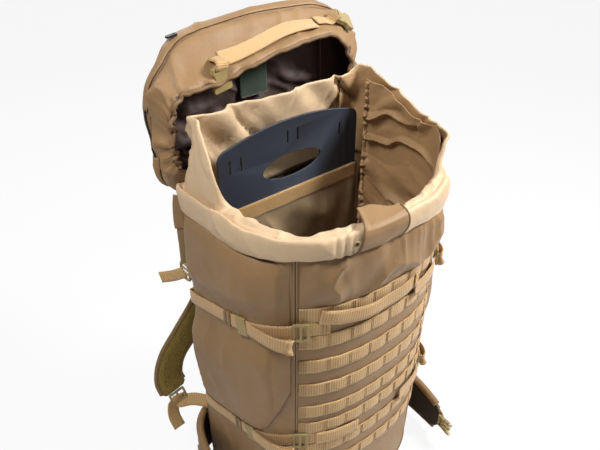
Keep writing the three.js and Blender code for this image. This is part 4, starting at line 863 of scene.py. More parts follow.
def collar_piece():
    l = np.linspace(COLLAR_FROM, COLLAR_FROM + 2 * HALF_LENGTH, 520)
    off, z, stand = collar_section(l)
    lg = np.broadcast_to(l[:, None], off.shape)
    index = np.broadcast_to(np.arange(off.shape[1]), off.shape)
    rolled = (1 - stand)[:, None]
    w = wrapped(lg)
    inner_fold = smooth((index - 12) / 8.0) * (1 - smooth((index - 40) / 5.0))
    fine = 0.0045 * (crease((lg + 0.8 * off) / 0.026, off / 0.03, 59, 1.8) - 0.4)
    hem = smooth((index - 47) / 5.0)
    bunch = np.exp(-((w + 0.098) / 0.022) ** 2)
    pleats = 0.0016 * np.sin(lg / 0.0022 + 2 * noise(lg / 0.02, z / 0.03, 60)) * bunch
    belly = 0.0024 * (crease((lg + 0.6 * z) / 0.035, z / 0.05, 62, 2.0) - 0.4)
    belly = belly + 0.0018 * noise(lg / 0.04, z / 0.03, 61)
    fold = collar_fold(lg, z)
    under = np.maximum(0, body_relief(lg, np.minimum(z, RIM))) + 0.0006
    flapped = smooth((np.abs(w - TAB_REACH) - TAB_HALF + 0.002) / 0.012)
    slack = (pleats + belly * (0.35 + 0.65 * rolled)) * flapped
    p = wall(lg, np.minimum(z, RIM), off + fold - collar_lean(lg, z) + hem * (slack + under * flapped))
    p[..., 2] = z + rolled * inner_fold * fine + hem * 0.0015 * noise(lg / 0.03, 0.7, 63)
    uv = plane_uv(lg, np.broadcast_to(line_run(p[len(p) // 2]), lg.shape))
    points, faces, uvs = shell(p, uv, 0.0011)
    m = p.shape[1]
    place = np.asarray(faces)[:, 0] % (p.shape[0] * m)
    lw, column = wrapped(l)[place // m], place % m
    brown = (lw > 0.135) & (lw < HALF_LENGTH - 0.150) & (column < 25)
    piece = build("collar_cloth", points, faces, [COLLAR, GUSSET], "pack", uvs, brown.astype(int))
    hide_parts("collar")
    squash_with_lid(piece)
    for label, column, radius in (("hem", m - 1, 0.0012), ("hem_row", m - 12, 0.0008)):
        line = p[:, column] + grid_normals(p)[:, column] * 0.0004
        squash_with_lid(tube(f"collar_{label}", line[::3], radius, COLLAR, count=520, sides=6))


def inner_gusset():
    """Gathered cloth inside the right wall, with its ruffled elastic edge towards the back."""
    l, v = mesh_grid(np.linspace(GUSSET_FROM, GUSSET_TO, 150), np.linspace(0, 1, 150))
    top = RIM + collar_rise(l) - 0.007
    z = lerp(GUSSET_FOOT, top, v)
    r = np.clip((GUSSET_TO - l) / (GUSSET_TO - GUSSET_FROM), 0, 1)
    edge = smooth((0.30 - r) / 0.30)
    rays = (z - 0.60 + 0.10 * r) / (0.017 + 0.022 * r) + 0.5 * noise(l / 0.04, z / 0.05, 64)
    fan = crease(rays, r * 1.2, 65, 1.5)
    pucker = 0.022 * (fan - 0.5) * (1 - r) ** 0.5 * smooth(r / 0.02 + 0.3)
    ruffle = 0.0045 * np.sin(z / 0.0019 + 2.2 * noise(z / 0.02, 0, 66)) * smooth((0.09 - r) / 0.09)
    gathers = np.maximum(pucker + ruffle, -0.004) * smooth((1 - r) / 0.25)
    fold = np.minimum(0.0, collar_fold(l, z)) - collar_lean(l, z)
    off = -0.0082 + fold - 0.020 * edge - 0.006 * smooth((1 - r) / 0.5) - gathers
    p = wall(l, np.minimum(z, RIM), off)
    p[..., 2] = z
    piece = sheet_piece("inner_gusset", p[::-1], plane_uv(l, z)[::-1], 0.0011, GUSSET)
    squash_with_lid(piece)
    squash_with_lid(tube("gusset_elastic", p[-2, ::3], 0.0036, GUSSET, count=180, sides=8))


def storm_tab():
    """Flap over the front rim, laid back into the mouth, and the eyelet beside it."""
    l, v = mesh_grid(np.linspace(TAB_REACH - TAB_HALF, TAB_REACH + TAB_HALF, 44), np.linspace(0, 1, 60))
    lean = (l - TAB_REACH) / TAB_HALF
    line = [(0.0085, 0.6215), (0.0112, 0.6265), (0.0138, 0.635), (0.0142, 0.646), (0.0115, 0.6545),
            (0.0045, 0.6585), (-0.006, 0.6605), (-0.019, 0.6635), (-0.031, 0.6655)]
    at = v * (len(line) - 1)
    off, z = (eased(np.interp(at, np.arange(len(line)), [q[i] for q in line]), 3) for i in (0, 1))
    short = smooth((v - 0.62) / 0.3) * smooth((lean + 0.4) / 1.2)
    off = off + 0.018 * short + 0.0016 * noise(l / 0.02, z / 0.02, 71)
    z = z - 0.006 * short
    slant = 0.012 * v
    curl = smooth((-lean - 0.72) / 0.28) * smooth((v - 0.45) / 0.3)
    p = wall(l + slant, z * 0 + 0.63, off + 0.005 * curl)
    p[..., 2] = z + 0.004 * curl
    piece = sheet_piece("storm_flap", p, plane_uv(l, v * 0.08), 0.0022, BODY)
    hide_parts("storm_tab")
    for k, side_l in enumerate((0, -1)):
        tube(f"storm_flap_edge_{k + 1}", p[side_l, ::4], 0.0014, BODY_DARK, count=60, sides=6)
    ring = wall(TAB_REACH - TAB_HALF - 0.007, 0.6425, 0.0148)
    out = unit(np.array([ring[0], ring[1], 0]) * [0.6, 1, 0])
    across = np.array([out[1], -out[0], 0])
    t = np.linspace(0, 2 * PI, 17)
    circle = across * np.cos(t)[:, None] + np.array([0, 0, 1]) * np.sin(t)[:, None]
    tube("collar_eyelet", ring + EYELET_RADIUS * circle, 0.0013, OLIVE, count=48, sides=8)
    # a black plug fills the eyelet's ring: painted shade in its hole
    hole = [ring - across * 0.002, ring + across * 0.002]
    tube("collar_eyelet_painted_shade", hole, 0.0022, BLACK, count=8, sides=8)


# Inside
SLEEVE_HALF, SLEEVE_FOOT, SLEEVE_TOP, SLEEVE_Y = 0.155, 0.046, 0.596, 0.0902


def sleeve_pieces():
    x, z = mesh_grid(np.linspace(-SLEEVE_HALF, SLEEVE_HALF, 120), np.linspace(SLEEVE_FOOT, SLEEVE_TOP, 180))
    sag = 0.012 * crease((x + 0.5 * z) / 0.07 + 0.3, (z - 0.3 * x) / 0.12, 81, 1.8)
    sag = sag * smooth((0.575 - z) / 0.05)
    sag = sag + 0.004 * noise(x / 0.03, z / 0.04, 82) * smooth((0.575 - z) / 0.03)
    sag = sag * smooth((SLEEVE_HALF - np.abs(x)) / 0.02)
    p = np.stack([x, SLEEVE_Y - np.maximum(sag, 0), z], -1)
    piece = sheet_piece("sleeve_cloth", p, plane_uv(x, z), 0.0010, SLEEVE)
    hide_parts("sheet_sleeve")
    for label, sign in SIDES:
        yy, zz = mesh_grid(np.linspace(SLEEVE_Y, 0.1138, 6), np.linspace(SLEEVE_FOOT, SLEEVE_TOP, 40))
        q = np.stack([np.full_like(yy, sign * SLEEVE_HALF), yy, zz], -1)
        sheet_piece(f"sleeve_{label}_edge", q, plane_uv(yy, zz), 0.001, SLEEVE)
    x, z = mesh_grid(np.linspace(-0.151, 0.151, 110),
                     np.linspace(SLEEVE_TOP - 0.0265, SLEEVE_TOP + 0.0005, 9))
    y = SLEEVE_Y - 0.0012 + 0.0006 * noise(x / 0.02, z / 0.02, 83)
    strip = sheet_piece("sleeve_loop_strip", np.stack([x, y, z], -1), plane_uv(x, z), 0.0022, DARK_LOOP)
    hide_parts("sleeve_strip")
    x, z = mesh_grid(np.linspace(-0.151, 0.151, 60), np.linspace(SLEEVE_TOP - 0.002, SLEEVE_TOP + 0.001, 4))
    hem = np.stack([x, np.full_like(x, SLEEVE_Y + 0.0012), z], -1)
    sheet_piece("sleeve_hem", hem, plane_uv(x, z), 0.0010, SLEEVE)


# Lid
LID_X, HEM_Y, HINGE_Z = 0.008, 0.150, 0.648
HEM_HALF, HEM_LONG, LID_HALF, LID_LONG = 0.192, 0.172, 0.216, 0.206
LID_BELOW, HEM_BOW, LID_BOW, SKIRT = 0.048, 0.014, 0.011, 0.056
LID_CORNER, LID_HEEL = 0.060, 0.034


def lid_swell(n):
    """Share of the way from the gathered hem's outline to the seam's, at a depth behind the hem."""
    return np.sin(np.clip(n / SKIRT, 0, 1) * PI / 2) ** 0.7


def lid_middle(y):
    return np.array([LID_X, y, HINGE_Z + (LID_LONG - LID_BELOW) / 2])


def lid_ring(n):
    """One level of the lid, from the middle of its hinge side round to there again."""
    swell = float(lid_swell(n))
    half, bow = lerp(HEM_HALF, LID_HALF, swell), lerp(HEM_BOW, LID_BOW, swell)
    low, high = lerp(0, -LID_BELOW, swell), lerp(HEM_LONG, LID_LONG, swell)
    corner, heel = LID_CORNER, LID_HEEL
    flat, side = half - corner, high - bow
    radius = (flat * flat + bow * bow) / (2 * bow)
    pts = [(x, low) for x in np.linspace(0, half - heel, 22, endpoint=False)]
    pts += [(half - heel + heel * math.sin(t), low + heel - heel * math.cos(t))
            for t in np.linspace(0, PI / 2, 10)]
    pts += [(half, w) for w in np.linspace(low + heel, side - corner, 26)[1:-1]]
    pts += [(half - corner + corner * math.cos(t), side - corner + corner * math.sin(t))
            for t in np.linspace(0, PI / 2, 20)]
    pts += [(x, high - radius + math.sqrt(radius ** 2 - x * x)) for x in np.linspace(flat, 0, 30)[1:]]
    right = np.array(pts)
    left = right[::-1][1:] * [-1, 1]
    ring = np.concatenate([right, left])
    return np.stack([LID_X + ring[:, 0], np.full(len(ring), HEM_Y + n), HINGE_Z + ring[:, 1]], -1)


def lid_out(rings):
    """Directions away from the lid's middle at each place of its rings."""
    normal = np.zeros_like(rings)
    along = np.gradient(rings, axis=0)
    normal[..., 0], normal[..., 2] = along[..., 2], -along[..., 0]
    return unit(normal)


# Sag of the open lid's front edge at places along it: at its hem and at its seam
HANG_X = [-0.215, -0.175, -0.130, -0.088, 0.007, 0.136, 0.175, 0.225]
HEM_HANG = [0.000, -0.002, -0.020, -0.030, -0.014, 0.010, 0.006, 0.000]
SEAM_HANG = [-0.006, -0.003, 0.000, 0.002, 0.006, 0.009, 0.007, 0.000]


def droop(p):
    """How the open lid hangs: a sagging hem, a left side that sinks in, round corners."""
    q = p.copy()
    x, z = p[..., 0], p[..., 2]
    deep = p[..., 1] - HEM_Y
    n = np.clip(deep / SKIRT, 0, 1)
    for sign, middle, wide, share in ((-1, -0.100, 0.108, 0.95), (1, 0.140, 0.084, 0.8)):
        u, v = np.maximum(0, sign * (x - middle)) / wide, np.maximum(0, z - 0.745) / 0.110
        size = np.hypot(u, v) + 1e-9
        square = ((u / size) ** 3.5 + (v / size) ** 3.5 + 1e-9) ** (-1 / 3.5)
        factor = lerp(1, 1 / np.minimum(square, 1.25), share * np.minimum(1, size))
        factor = np.where((u > 0) & (v > 0), factor, 1)
        q[..., 0] = np.where(u > 0, middle + (x - middle) * factor, q[..., 0])
        q[..., 2] = np.where(v > 0, np.where(u > 0, 0.745 + (z - 0.745) * factor, q[..., 2]), q[..., 2])
    top = smooth((z - 0.705) / 0.085)
    hem, seam = np.interp(x, HANG_X, HEM_HANG), np.interp(x, HANG_X, SEAM_HANG)
    middle = smooth((0.200 - np.abs(x - LID_X)) / 0.06)
    sag = 0.016 * np.sin(PI * n) ** 1.2 * middle
    q[..., 2] += top * (lerp(hem, seam, n) - sag)
    left = smooth((-x - 0.105) / 0.090)
    low = smooth((0.74 - z) / 0.07)
    q[..., 0] += left * (0.004 + 0.011 * n + 0.008 * n * low)
    q[..., 1] = HEM_Y + deep * (1 - left * smooth((0.875 - z) / 0.05) * lerp(0.16, 0.23, low))
    right = smooth((x - 0.130) / 0.080)
    q[..., 0] += right * (0.034 * n - 0.010) * smooth((z - 0.66) / 0.05)
    heel = smooth((0.69 - z) / 0.08) * smooth((-x - 0.02) / 0.16)
    q[..., 2] += 0.012 * heel
    return q


def lid_relief(run, n):
    """Slack of the lid's skirt: gathers at the elastic hem, soft folds away from it."""
    total = run[-1, 0]
    share = np.abs(run / total * 2 - 1)  # 1 at the hinge side, 0 at the middle of the front edge
    sides = smooth((share - 0.26) / 0.12)
    gather = 0.0046 * np.sin(run / 0.0024 + 3.0 * noise(run / 0.03, 0, 91))
    gather = gather * np.exp(-n / 0.013) * (0.12 + 0.88 * sides)
    folds = 0.016 * (crease(run / 0.034 + 0.7 * n / 0.05, n / 0.06, 92, 1.8) - 0.45) * (0.30 + 0.70 * sides)
    soft = 0.0035 * noise(run / 0.09, n / 0.05, 93)
    tuck = -0.0035 * np.exp(-((n - SKIRT) / 0.004) ** 2)
    return gather + (folds + soft) * smooth(n / 0.02) * (1 - 0.5 * np.exp(-((n - SKIRT) / 0.008) ** 2)) + tuck


def cover_relief(run, n):
    """Slack of the lid's side band, drawn in at its seam with the skirt."""
    edge = np.exp(-((n - SKIRT) / 0.01) ** 2)
    soft = 0.007 * (crease(run / 0.05, n / 0.04, 95, 2.0) - 0.4) + 0.004 * noise(run / 0.08, n / 0.03, 96)
    return soft * (1 - edge) - 0.0035 * edge


ZIP_DEPTH = 0.0700
PATCH_X, PATCH_Z = (-0.019, 0.038), (0.728, 0.782)
COVER_STEPS = [  # depth behind the hem, size of the cover there
    (SKIRT, 1.0), (0.062, 1.0), (0.068, 1.005), (0.074, 1.0), (0.080, 0.985), (0.085, 0.955), (0.089, 0.905),
    (0.092, 0.84), (0.094, 0.75), (0.0965, 0.62), (0.098, 0.48), (0.099, 0.34), (0.0995, 0.20),
    (0.0997, 0.08), (0.0998, 0.004)]


def cover_side(n):
    return np.clip((0.094 - n) / 0.03, 0, 1)


def cover_place(depths, lift=0.0):
    """Places on the lid's cover for every station round the lid and every depth, with their run and depth."""
    base, centre = lid_ring(SKIRT), lid_middle(0)
    share = np.interp(depths, [at for at, _ in COVER_STEPS], [size for _, size in COVER_STEPS])
    rings = centre + (base - centre)[:, None] * share[None, :, None]
    rings[..., 1] = HEM_Y + np.asarray(depths)
    n = np.broadcast_to(np.asarray(depths, float), rings.shape[:2])
    r = np.broadcast_to(line_run(base)[:, None], rings.shape[:2])
    return rings + lid_out(rings[:, :1]) * (cover_relief(r, n) * cover_side(n) + lift)[..., None], r, n


def lid_pieces():
    levels = np.linspace(0, SKIRT, 26)
    rings = np.stack([lid_ring(n) for n in levels], 1)
    out = lid_out(rings)
    n = np.broadcast_to(levels, rings.shape[:2])
    r = np.broadcast_to(line_run(rings[:, -1])[:, None], rings.shape[:2])
    p = rings + out * lid_relief(r, n)[..., None]
    p[..., 1] += 0.004 * noise(r / 0.02, n / 0.02, 94) * np.exp(-n / 0.012)
    skirt = sheet_piece("lid_skirt_cloth", droop(p)[:, ::-1], plane_uv(r, n)[:, ::-1], LID_THICK, BODY, "lid")
    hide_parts("lid_skirt")
    lining = droop(p - out * 0.0021)[:, :23]
    sheet_piece("lid_skirt_lining", lining, plane_uv(r, n)[:, :23], 0.0006, LINING, "lid")
    hem = droop(p)[:, 0] + np.array([0, -0.0008, 0])
    tube("lid_hem", np.concatenate([hem[::2], hem[:1]]), 0.0034, BODY_DARK, "lid", count=420, sides=8)

    p, r, n = cover_place([at for at, _ in COVER_STEPS])
    top = 1 - cover_side(n)
    p[..., 1] += top * (0.004 * noise(p[..., 0] / 0.06, p[..., 2] / 0.06, 97)
                        + 0.004 * (crease(p[..., 0] / 0.09, p[..., 2] / 0.11, 98, 2.2) - 0.4))
    cover = sheet_piece("lid_cover_cloth", droop(p)[:, ::-1], plane_uv(r, n)[:, ::-1], LID_THICK, BODY, "lid")
    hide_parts("lid_cover")
    sew = droop(cover_place([SKIRT], -0.001)[0])[:, 0]
    tube("lid_seam_piping", np.concatenate([sew[::2], sew[:1]]), 0.0021, BODY_DARK, "lid", count=420, sides=7)


def lid_fill():
    """The coated liner that closes the inside of the lid behind its skirt."""
    y = HEM_Y + 0.057
    ring, centre = lid_ring(SKIRT), lid_middle(y)
    shares = np.linspace(0.02, 1, 40)
    size = 1 - 0.006 / LID_HALF
    p = centre + (ring[:, None] * [1, 0, 1] + [0, y, 0] - centre) * (shares * size)[None, :, None]
    x, z = p[..., 0], p[..., 2]
    big = 0.012 * (crease(x / 0.075 + 0.3 * z / 0.05, z / 0.05, 101, 1.8) - 0.5)
    fine = 0.006 * (crease(x / 0.028, z / 0.024 + x / 0.05, 102, 1.6) - 0.5)
    p[..., 1] = y + np.maximum(-(big + fine), -0.005) * smooth((1 - shares) / 0.06)[None, :]
    liner = sheet_piece("lid_liner_cloth", droop(p), plane_uv(x, z), 0.001, LINING, "lid")
    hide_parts("lid_liner")


def lid_skirt_place(x, n, lift):
    """A place on the upper side of the skirt, over the lid's front edge."""
    swell = lid_swell(n)
    half = lerp(HEM_HALF, LID_HALF, swell)
    high, bow = lerp(HEM_LONG, LID_LONG, swell), lerp(HEM_BOW, LID_BOW, swell)
    flat = half - LID_CORNER
    radius = (flat * flat + bow * bow) / (2 * bow)
    over = np.clip(np.abs(x) - flat, 0, 0.0599)
    z = high - radius + np.sqrt(radius ** 2 - np.minimum(np.abs(x), flat) ** 2)
    z = np.where(np.abs(x) > flat, high - bow - LID_CORNER + np.sqrt(LID_CORNER ** 2 - over ** 2), z)
    return np.stack(np.broadcast_arrays(LID_X + x, HEM_Y + n, HINGE_Z + z + lift), -1)


def lid_details():
    x, n = mesh_grid(np.linspace(-0.082, 0.114, 90), np.linspace(0.0105, 0.0310, 9))
    curve = 0.0035 * np.sin((x - 0.014) / 0.2 * 2 * PI)
    p = droop(lid_skirt_place(x, n + curve, 0.0052 + 0.0008 * noise(x / 0.03, n / 0.02, 111)))
    strip = sheet_piece("lid_loop_tape", p, plane_uv(x, n), 0.0022, PALE_LOOP, "lid")
    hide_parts("lid_loop_strip")
    # webbing tabs of the two buckle shells
    low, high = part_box("lid_buckle_left")
    mid, top = (low.x + high.x) / 2, high.z
    line = [(mid + 0.003, 0.176, top + 0.006), (mid + 0.002, 0.158, top + 0.0075), (mid, 0.149, top + 0.004),
            (mid - 0.001, 0.1475, top - 0.004), (mid - 0.0015, 0.1515, top - 0.009)]
    tab = tape_piece("lid_tab_left", line, (1, 0, 0.14), 0.021, TAPE, None, thick=0.0022, count=36)
    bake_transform(tab)
    low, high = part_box("lid_buckle_right")
    a = lid_skirt_place(np.array([0.118, 0.135, 0.150]), 0.026, 0.0068)
    line = [*droop(a), (low.x + 0.006, 0.172, high.z - 0.004)]
    tape_piece("lid_tab_right", line, (0, 1, 0.35), 0.021, TAPE, "lid", thick=0.0022, count=30)
    # zip in the side of the lid, under a storm flap
    for label, depth, wide, lift, material, thick, start, end in (
            ("zip_tape", ZIP_DEPTH, 0.007, 0.0012, BLACK, 0.0010, 0.20, 0.80),
            ("zip_teeth", ZIP_DEPTH, 0.0035, 0.0018, BLACK, 0.0008, 0.20, 0.80),
            ("zip_flap", ZIP_DEPTH, 0.022, 0.0034, BODY, 0.0016, 0.14, 0.725),
            ("zip_flap_end", ZIP_DEPTH, 0.022, 0.0034, BODY, 0.0016, 0.785, 0.86),
            ("zip_welt", 0.0800, 0.0050, 0.0026, BODY_DARK, 0.0018, 0.14, 0.86)):
        p, r, n = cover_place(depth + np.linspace(-0.5, 0.5, 7) * wide, lift)
        keep = (r[:, 0] > start * r[-1, 0]) & (r[:, 0] < end * r[-1, 0])
        piece = droop(p)[keep][:, ::-1]
        sheet_piece(f"lid_{label}", piece, plane_uv(r, n)[keep][:, ::-1], thick, material, "lid")
    # plain patch and seams on the coated lining
    x, z = mesh_grid(np.linspace(*PATCH_X, 24), np.linspace(*PATCH_Z, 22))
    y = 0.1995 - 0.0015 * noise(x / 0.02, z / 0.02, 112)
    sheet_piece("lid_patch", np.stack([x, y, z], -1), plane_uv(x, z), 0.0012, GREEN, "lid")
    for k, edge in enumerate(PATCH_Z):
        line = [(x, 0.1985, edge) for x in PATCH_X]
        tube(f"lid_patch_edge_{k + 1}", line, 0.0009, LINING, "lid", count=12)
    line = [(0.158, 0.200, 0.83), (0.159, 0.198, 0.76), (0.158, 0.200, 0.66)]
    tube("lid_inner_seam", line, 0.0022, LINING, "lid")


def lid_tape():
    x, v = mesh_grid(np.linspace(-0.128, 0.128, 80), np.linspace(0, 1, 20))
    z = lerp(0.586, 0.6475, v)
    y = 0.1478 + 0.0038 * smooth((z - 0.606) / 0.014) + 0.0006 * noise(x / 0.03, v * 3, 121)
    p = np.stack([x, y, z], -1)[::-1]
    piece = sheet_piece("hinge_cloth", p, plane_uv(x, z)[::-1], 0.0014, TAPE_DARK, None)
    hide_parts("lid_hinge_tape")
    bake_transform(piece)


# Harness
def swept(line, across, out, wide, thick, corners=18):
    """Points and faces of a padded bar along a line, flat-sided with round edges."""
    t = -PI / 2 + 2 * PI * (np.arange(corners) + 0.5) / corners
    u, v = (np.sign(side(t)) * np.abs(side(t)) ** 0.5 for side in (np.cos, np.sin))
    rings = [line[k] + across[k] * (u * wide[k] / 2)[:, None] + out[k] * (v * thick[k] / 2)[:, None]
             for k in range(len(line))]
    last, faces = (len(line) - 1) * corners, []
    for start in range(0, last, corners):
        for i in range(corners):
            j = (i + 1) % corners
            faces.append((start + i, start + j, start + corners + j, start + corners + i))
    faces.append(tuple(range(corners))[::-1])
    faces.append(tuple(last + i for i in range(corners)))
    return np.concatenate(rings), faces


LIFTER_PLACE, KEEPER_PLACE, STERNUM_PLACE = 8, 11, 21  # of the 60 places along a strap's middle line
STRAP_OUT = np.array([0.27, 0.32, 0.40, 0.50, 0.63, 0.80, 0.95, 1, 0.97]) * 0.222
STRAP_OFF = np.array([0, 0.24, 0.38, 0.46, 0.50, 0.58, 0.72, 0.78, 0.64]) * 0.052 + 0.15833
STRAP_DROP = 0.534 - np.array([0, 0.09, 0.21, 0.345, 0.483, 0.62, 0.76, 0.9, 1]) * 0.352


def strap_route(sign):
    """Middle line of a shoulder strap, with the directions along it, across it and off its face."""
    line = bend(np.stack([sign * STRAP_OUT, STRAP_OFF, STRAP_DROP], -1), 60)[0]
    along = unit(np.gradient(line, axis=0))
    across = unit(np.cross([0, 1.0, 0], along))
    return line, along, across, np.cross(along, across)


def shoulder_straps():
    for side, sign in SIDES:
        body = f"shoulder_{side}"
        line, along, across, out = strap_route(sign)
        s = np.linspace(0, 1, len(line))
        tip = np.minimum(1, np.minimum(s, 1 - s) * 30 + 0.55)
        wide = 0.0615 * lerp(1, 0.86, s) * np.minimum(1, tip + 0.2)
        thick = 0.0105 * tip
        points, faces = swept(line, across, out, wide, thick)
        piece = puff(f"shoulder_pad_{side}", points, faces, [BODY_DARK, MESH], body, pressure=3, cap=0.0022,
                     voxel=0.004, frames=8, slots=lambda c, n: (n[:, 1] < -0.2).astype(int))
        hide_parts(f"shoulder_strap_{side}")
        for k, edge in enumerate((-1, 1)):
            rim = line + across * (edge * wide[:, None] * 0.49)
            tube(f"shoulder_binding_{side}_{k + 1}", rim[::3], 0.0042, TAPE_DARK, body, count=90, sides=8)
        face = line + out * np.sign(out[:, 1:2]) * 0.0095
        tape_piece(f"shoulder_tape_{side}", face[6::4], across[30], WEB, TAPE, body, count=70)
        k = KEEPER_PLACE
        inner = line[k] + out[k] * np.sign(out[k][1]) * 0.0125
        ends = [inner - across[k] * 0.033, inner + across[k] * 0.033]
        tape_piece(f"shoulder_keeper_{side}", ends, along[k], 0.018, TAPE_DARK, body, thick=0.0016, count=16)
        # webbing from the ladder lock to the lower corner of the bag
        low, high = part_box(f"strap_lock_{side}")
        mid = np.array((low + high) / 2)
        foot = wall(sign * (HALF_LENGTH - 0.162), 0.148, 0.0018)
        p = [mid + [0, 0, 0.004], mid + [0, -0.002, -0.012], lerp(mid, foot, 0.45) + [0, 0.004, -0.004],
             lerp(mid, foot, 0.8), foot]
        web = tape_piece(f"shoulder_lower_tape_{side}", p, across[-1], WEB, TAPE, None, count=60)
        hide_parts(f"shoulder_webbing_{side}")
        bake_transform(web)
        tail = mid + np.array([[0, 0.004, 0.002], [sign * 0.008, 0.010, -0.020],
                               [sign * 0.012, 0.006, -0.050], [sign * 0.008, -0.004, -0.078]])
        tape_piece(f"shoulder_tail_{side}", tail, across[-1], WEB * 0.96, TAPE, body, thick=0.0016, count=40,
                   ripple=0.001)
        # load lifter
        start = np.array([sign * 0.146, 0.1495, 0.604])
        k = LIFTER_PLACE
        end = line[k] + out[k] * np.sign(out[k][1]) * 0.0085 - across[k] * sign * 0.018
        middle = lerp(start, end, 0.5) + [0, 0.016, 0]
        lifter = tape_piece(f"lifter_tape_{side}", [start, middle, end], across[k], 0.020, TAPE, None,
                            count=40)
        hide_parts(f"load_lifter_{side}")
        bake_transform(lifter)


def sternum():
    for side, sign in SIDES:
        body = f"sternum_{side}"
        line, along, _, out = strap_route(sign)
        k = STERNUM_PLACE
        at = line[k] + out[k] * np.sign(out[k][1]) * 0.0150
        inner = at + np.array([-sign * 0.078, 0.014, -0.016])
        p = [at + np.array([sign * 0.020, 0.0035, 0]), at + [0, 0.0003, 0], lerp(at, inner, 0.55), inner]
        piece = tape_piece(f"sternum_tape_{side}", p, along[k], 0.020, TAPE, body, count=40, ripple=0.0006)
        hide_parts(f"sternum_half_{side}")


CUSHION_Y, HANDLE_RISE = 0.1465, 0.017


def back_cushion(name, node, material, half, low, high, thick, draw, shift=0.0, channels=(), crown=0.0):
    """A pad on the back: a domed box with drawn-in sides, blown up and sewn down along its channels."""
    u, v = mesh_grid(np.linspace(-1, 1, 25), np.linspace(0, 1, 25))
    width = half - draw * (1 - (2 * v - 1) ** 2)
    corner = 1 - 0.10 * np.clip(np.abs(2 * v - 1) * 4 - 3, 0, 1) ** 2
    x = shift + u * width * corner
    z = lerp(low, high, v)
    dome = (1 - np.abs(u) ** 4) * (1 - np.abs(2 * v - 1) ** 4)
    face = np.stack([x, CUSHION_Y + thick + crown * dome, z], -1)
    points, faces = slab(face, np.stack([x, np.full_like(x, CUSHION_Y), z], -1))

    def held(rest):
        return (rest[:, 1] < CUSHION_Y + 0.0025).astype(float)

    def sewn(rest):
        q = rest.copy()
        for c in channels:
            dip = np.exp(-((q[:, 2] - lerp(low, high, c)) / 0.005) ** 2)
            dip = dip * smooth((q[:, 1] - CUSHION_Y - 0.002) / 0.006)
            q[:, 1] = lerp(q[:, 1], CUSHION_Y + 0.45 * (q[:, 1] - CUSHION_Y), dip * 0.75)
        q[:, 1] = np.maximum(q[:, 1], CUSHION_Y - 0.0002)
        return q

    piece = puff(name, points, faces, material, "pack", pressure=4, cap=0.006, voxel=0.0045, frames=12,
                 pin=held, after=sewn)
    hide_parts(node)


def back_pieces():
    for side, sign in SIDES:
        back_cushion(f"back_cushion_{side}", f"back_pad_{side}", MESH, 0.0455, 0.215, 0.445, 0.006, 0.005,
                     sign * 0.062, (0.3, 0.6), 0.005)
    back_cushion("lumbar_cushion", "lumbar_pad", MESH, 0.1015, 0.064, 0.194, 0.007, 0.007, channels=(0.5,),
                 crown=0.007)
    back_cushion("yoke_cushion", "yoke_pad", BODY, 0.1165, 0.458, 0.544, 0.005, 0.004, crown=0.0015)
    # webbing over the yoke, and tapes beside the cushions
    for side, sign in SIDES:
        line = [(sign * 0.030, 0.1562, 0.470), (sign * 0.052, 0.1585, 0.500), (sign * 0.060, 0.1575, 0.536)]
        tape_piece(f"yoke_tape_{side}", line, (1, 0, 0), count=24)
        line = [(sign * 0.128, 0.1475, 0.205), (sign * 0.128, 0.1475, 0.44)]
        tape_piece(f"back_edge_tape_{side}", line, (1, 0, 0), 0.016, TAPE_DARK, count=40)
    x = np.linspace(-0.062, 0.062, 60)
    rise = HANDLE_RISE * np.clip(1 - (np.abs(x) / 0.048) ** 2, 0, 1) ** 0.8
    line = np.stack([x, 0.1485 + rise, np.full_like(x, 0.5645)], -1)
    handle = tape_piece("handle_tape", line[::3], (0, 0, 1), count=70, thick=0.003)
    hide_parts("grab_handle")
    wrap = line[np.abs(x) < 0.030][::2] + [0, 0.0005, 0]
    tube("handle_roll", wrap, 0.0072, BODY_DARK, count=40, sides=12, squeeze=1.5)


WING_OUT = np.array([0.513, 0.62, 0.75, 0.885, 0.975, 1, 0.983, 0.93]) * 0.230
WING_Y = 0.1548 - np.array([0, 0, -0.018, 0.08, 0.28, 0.52, 0.76, 1]) * 0.283
WING_Z = 0.078 - np.array([0, 0, 0.09, 0.27, 0.45, 0.64, 0.82, 1]) * 0.022
WING_TALL = np.array([0.87, 0.98, 1, 0.96, 0.91, 0.85, 0.77, 0.62]) * 0.106


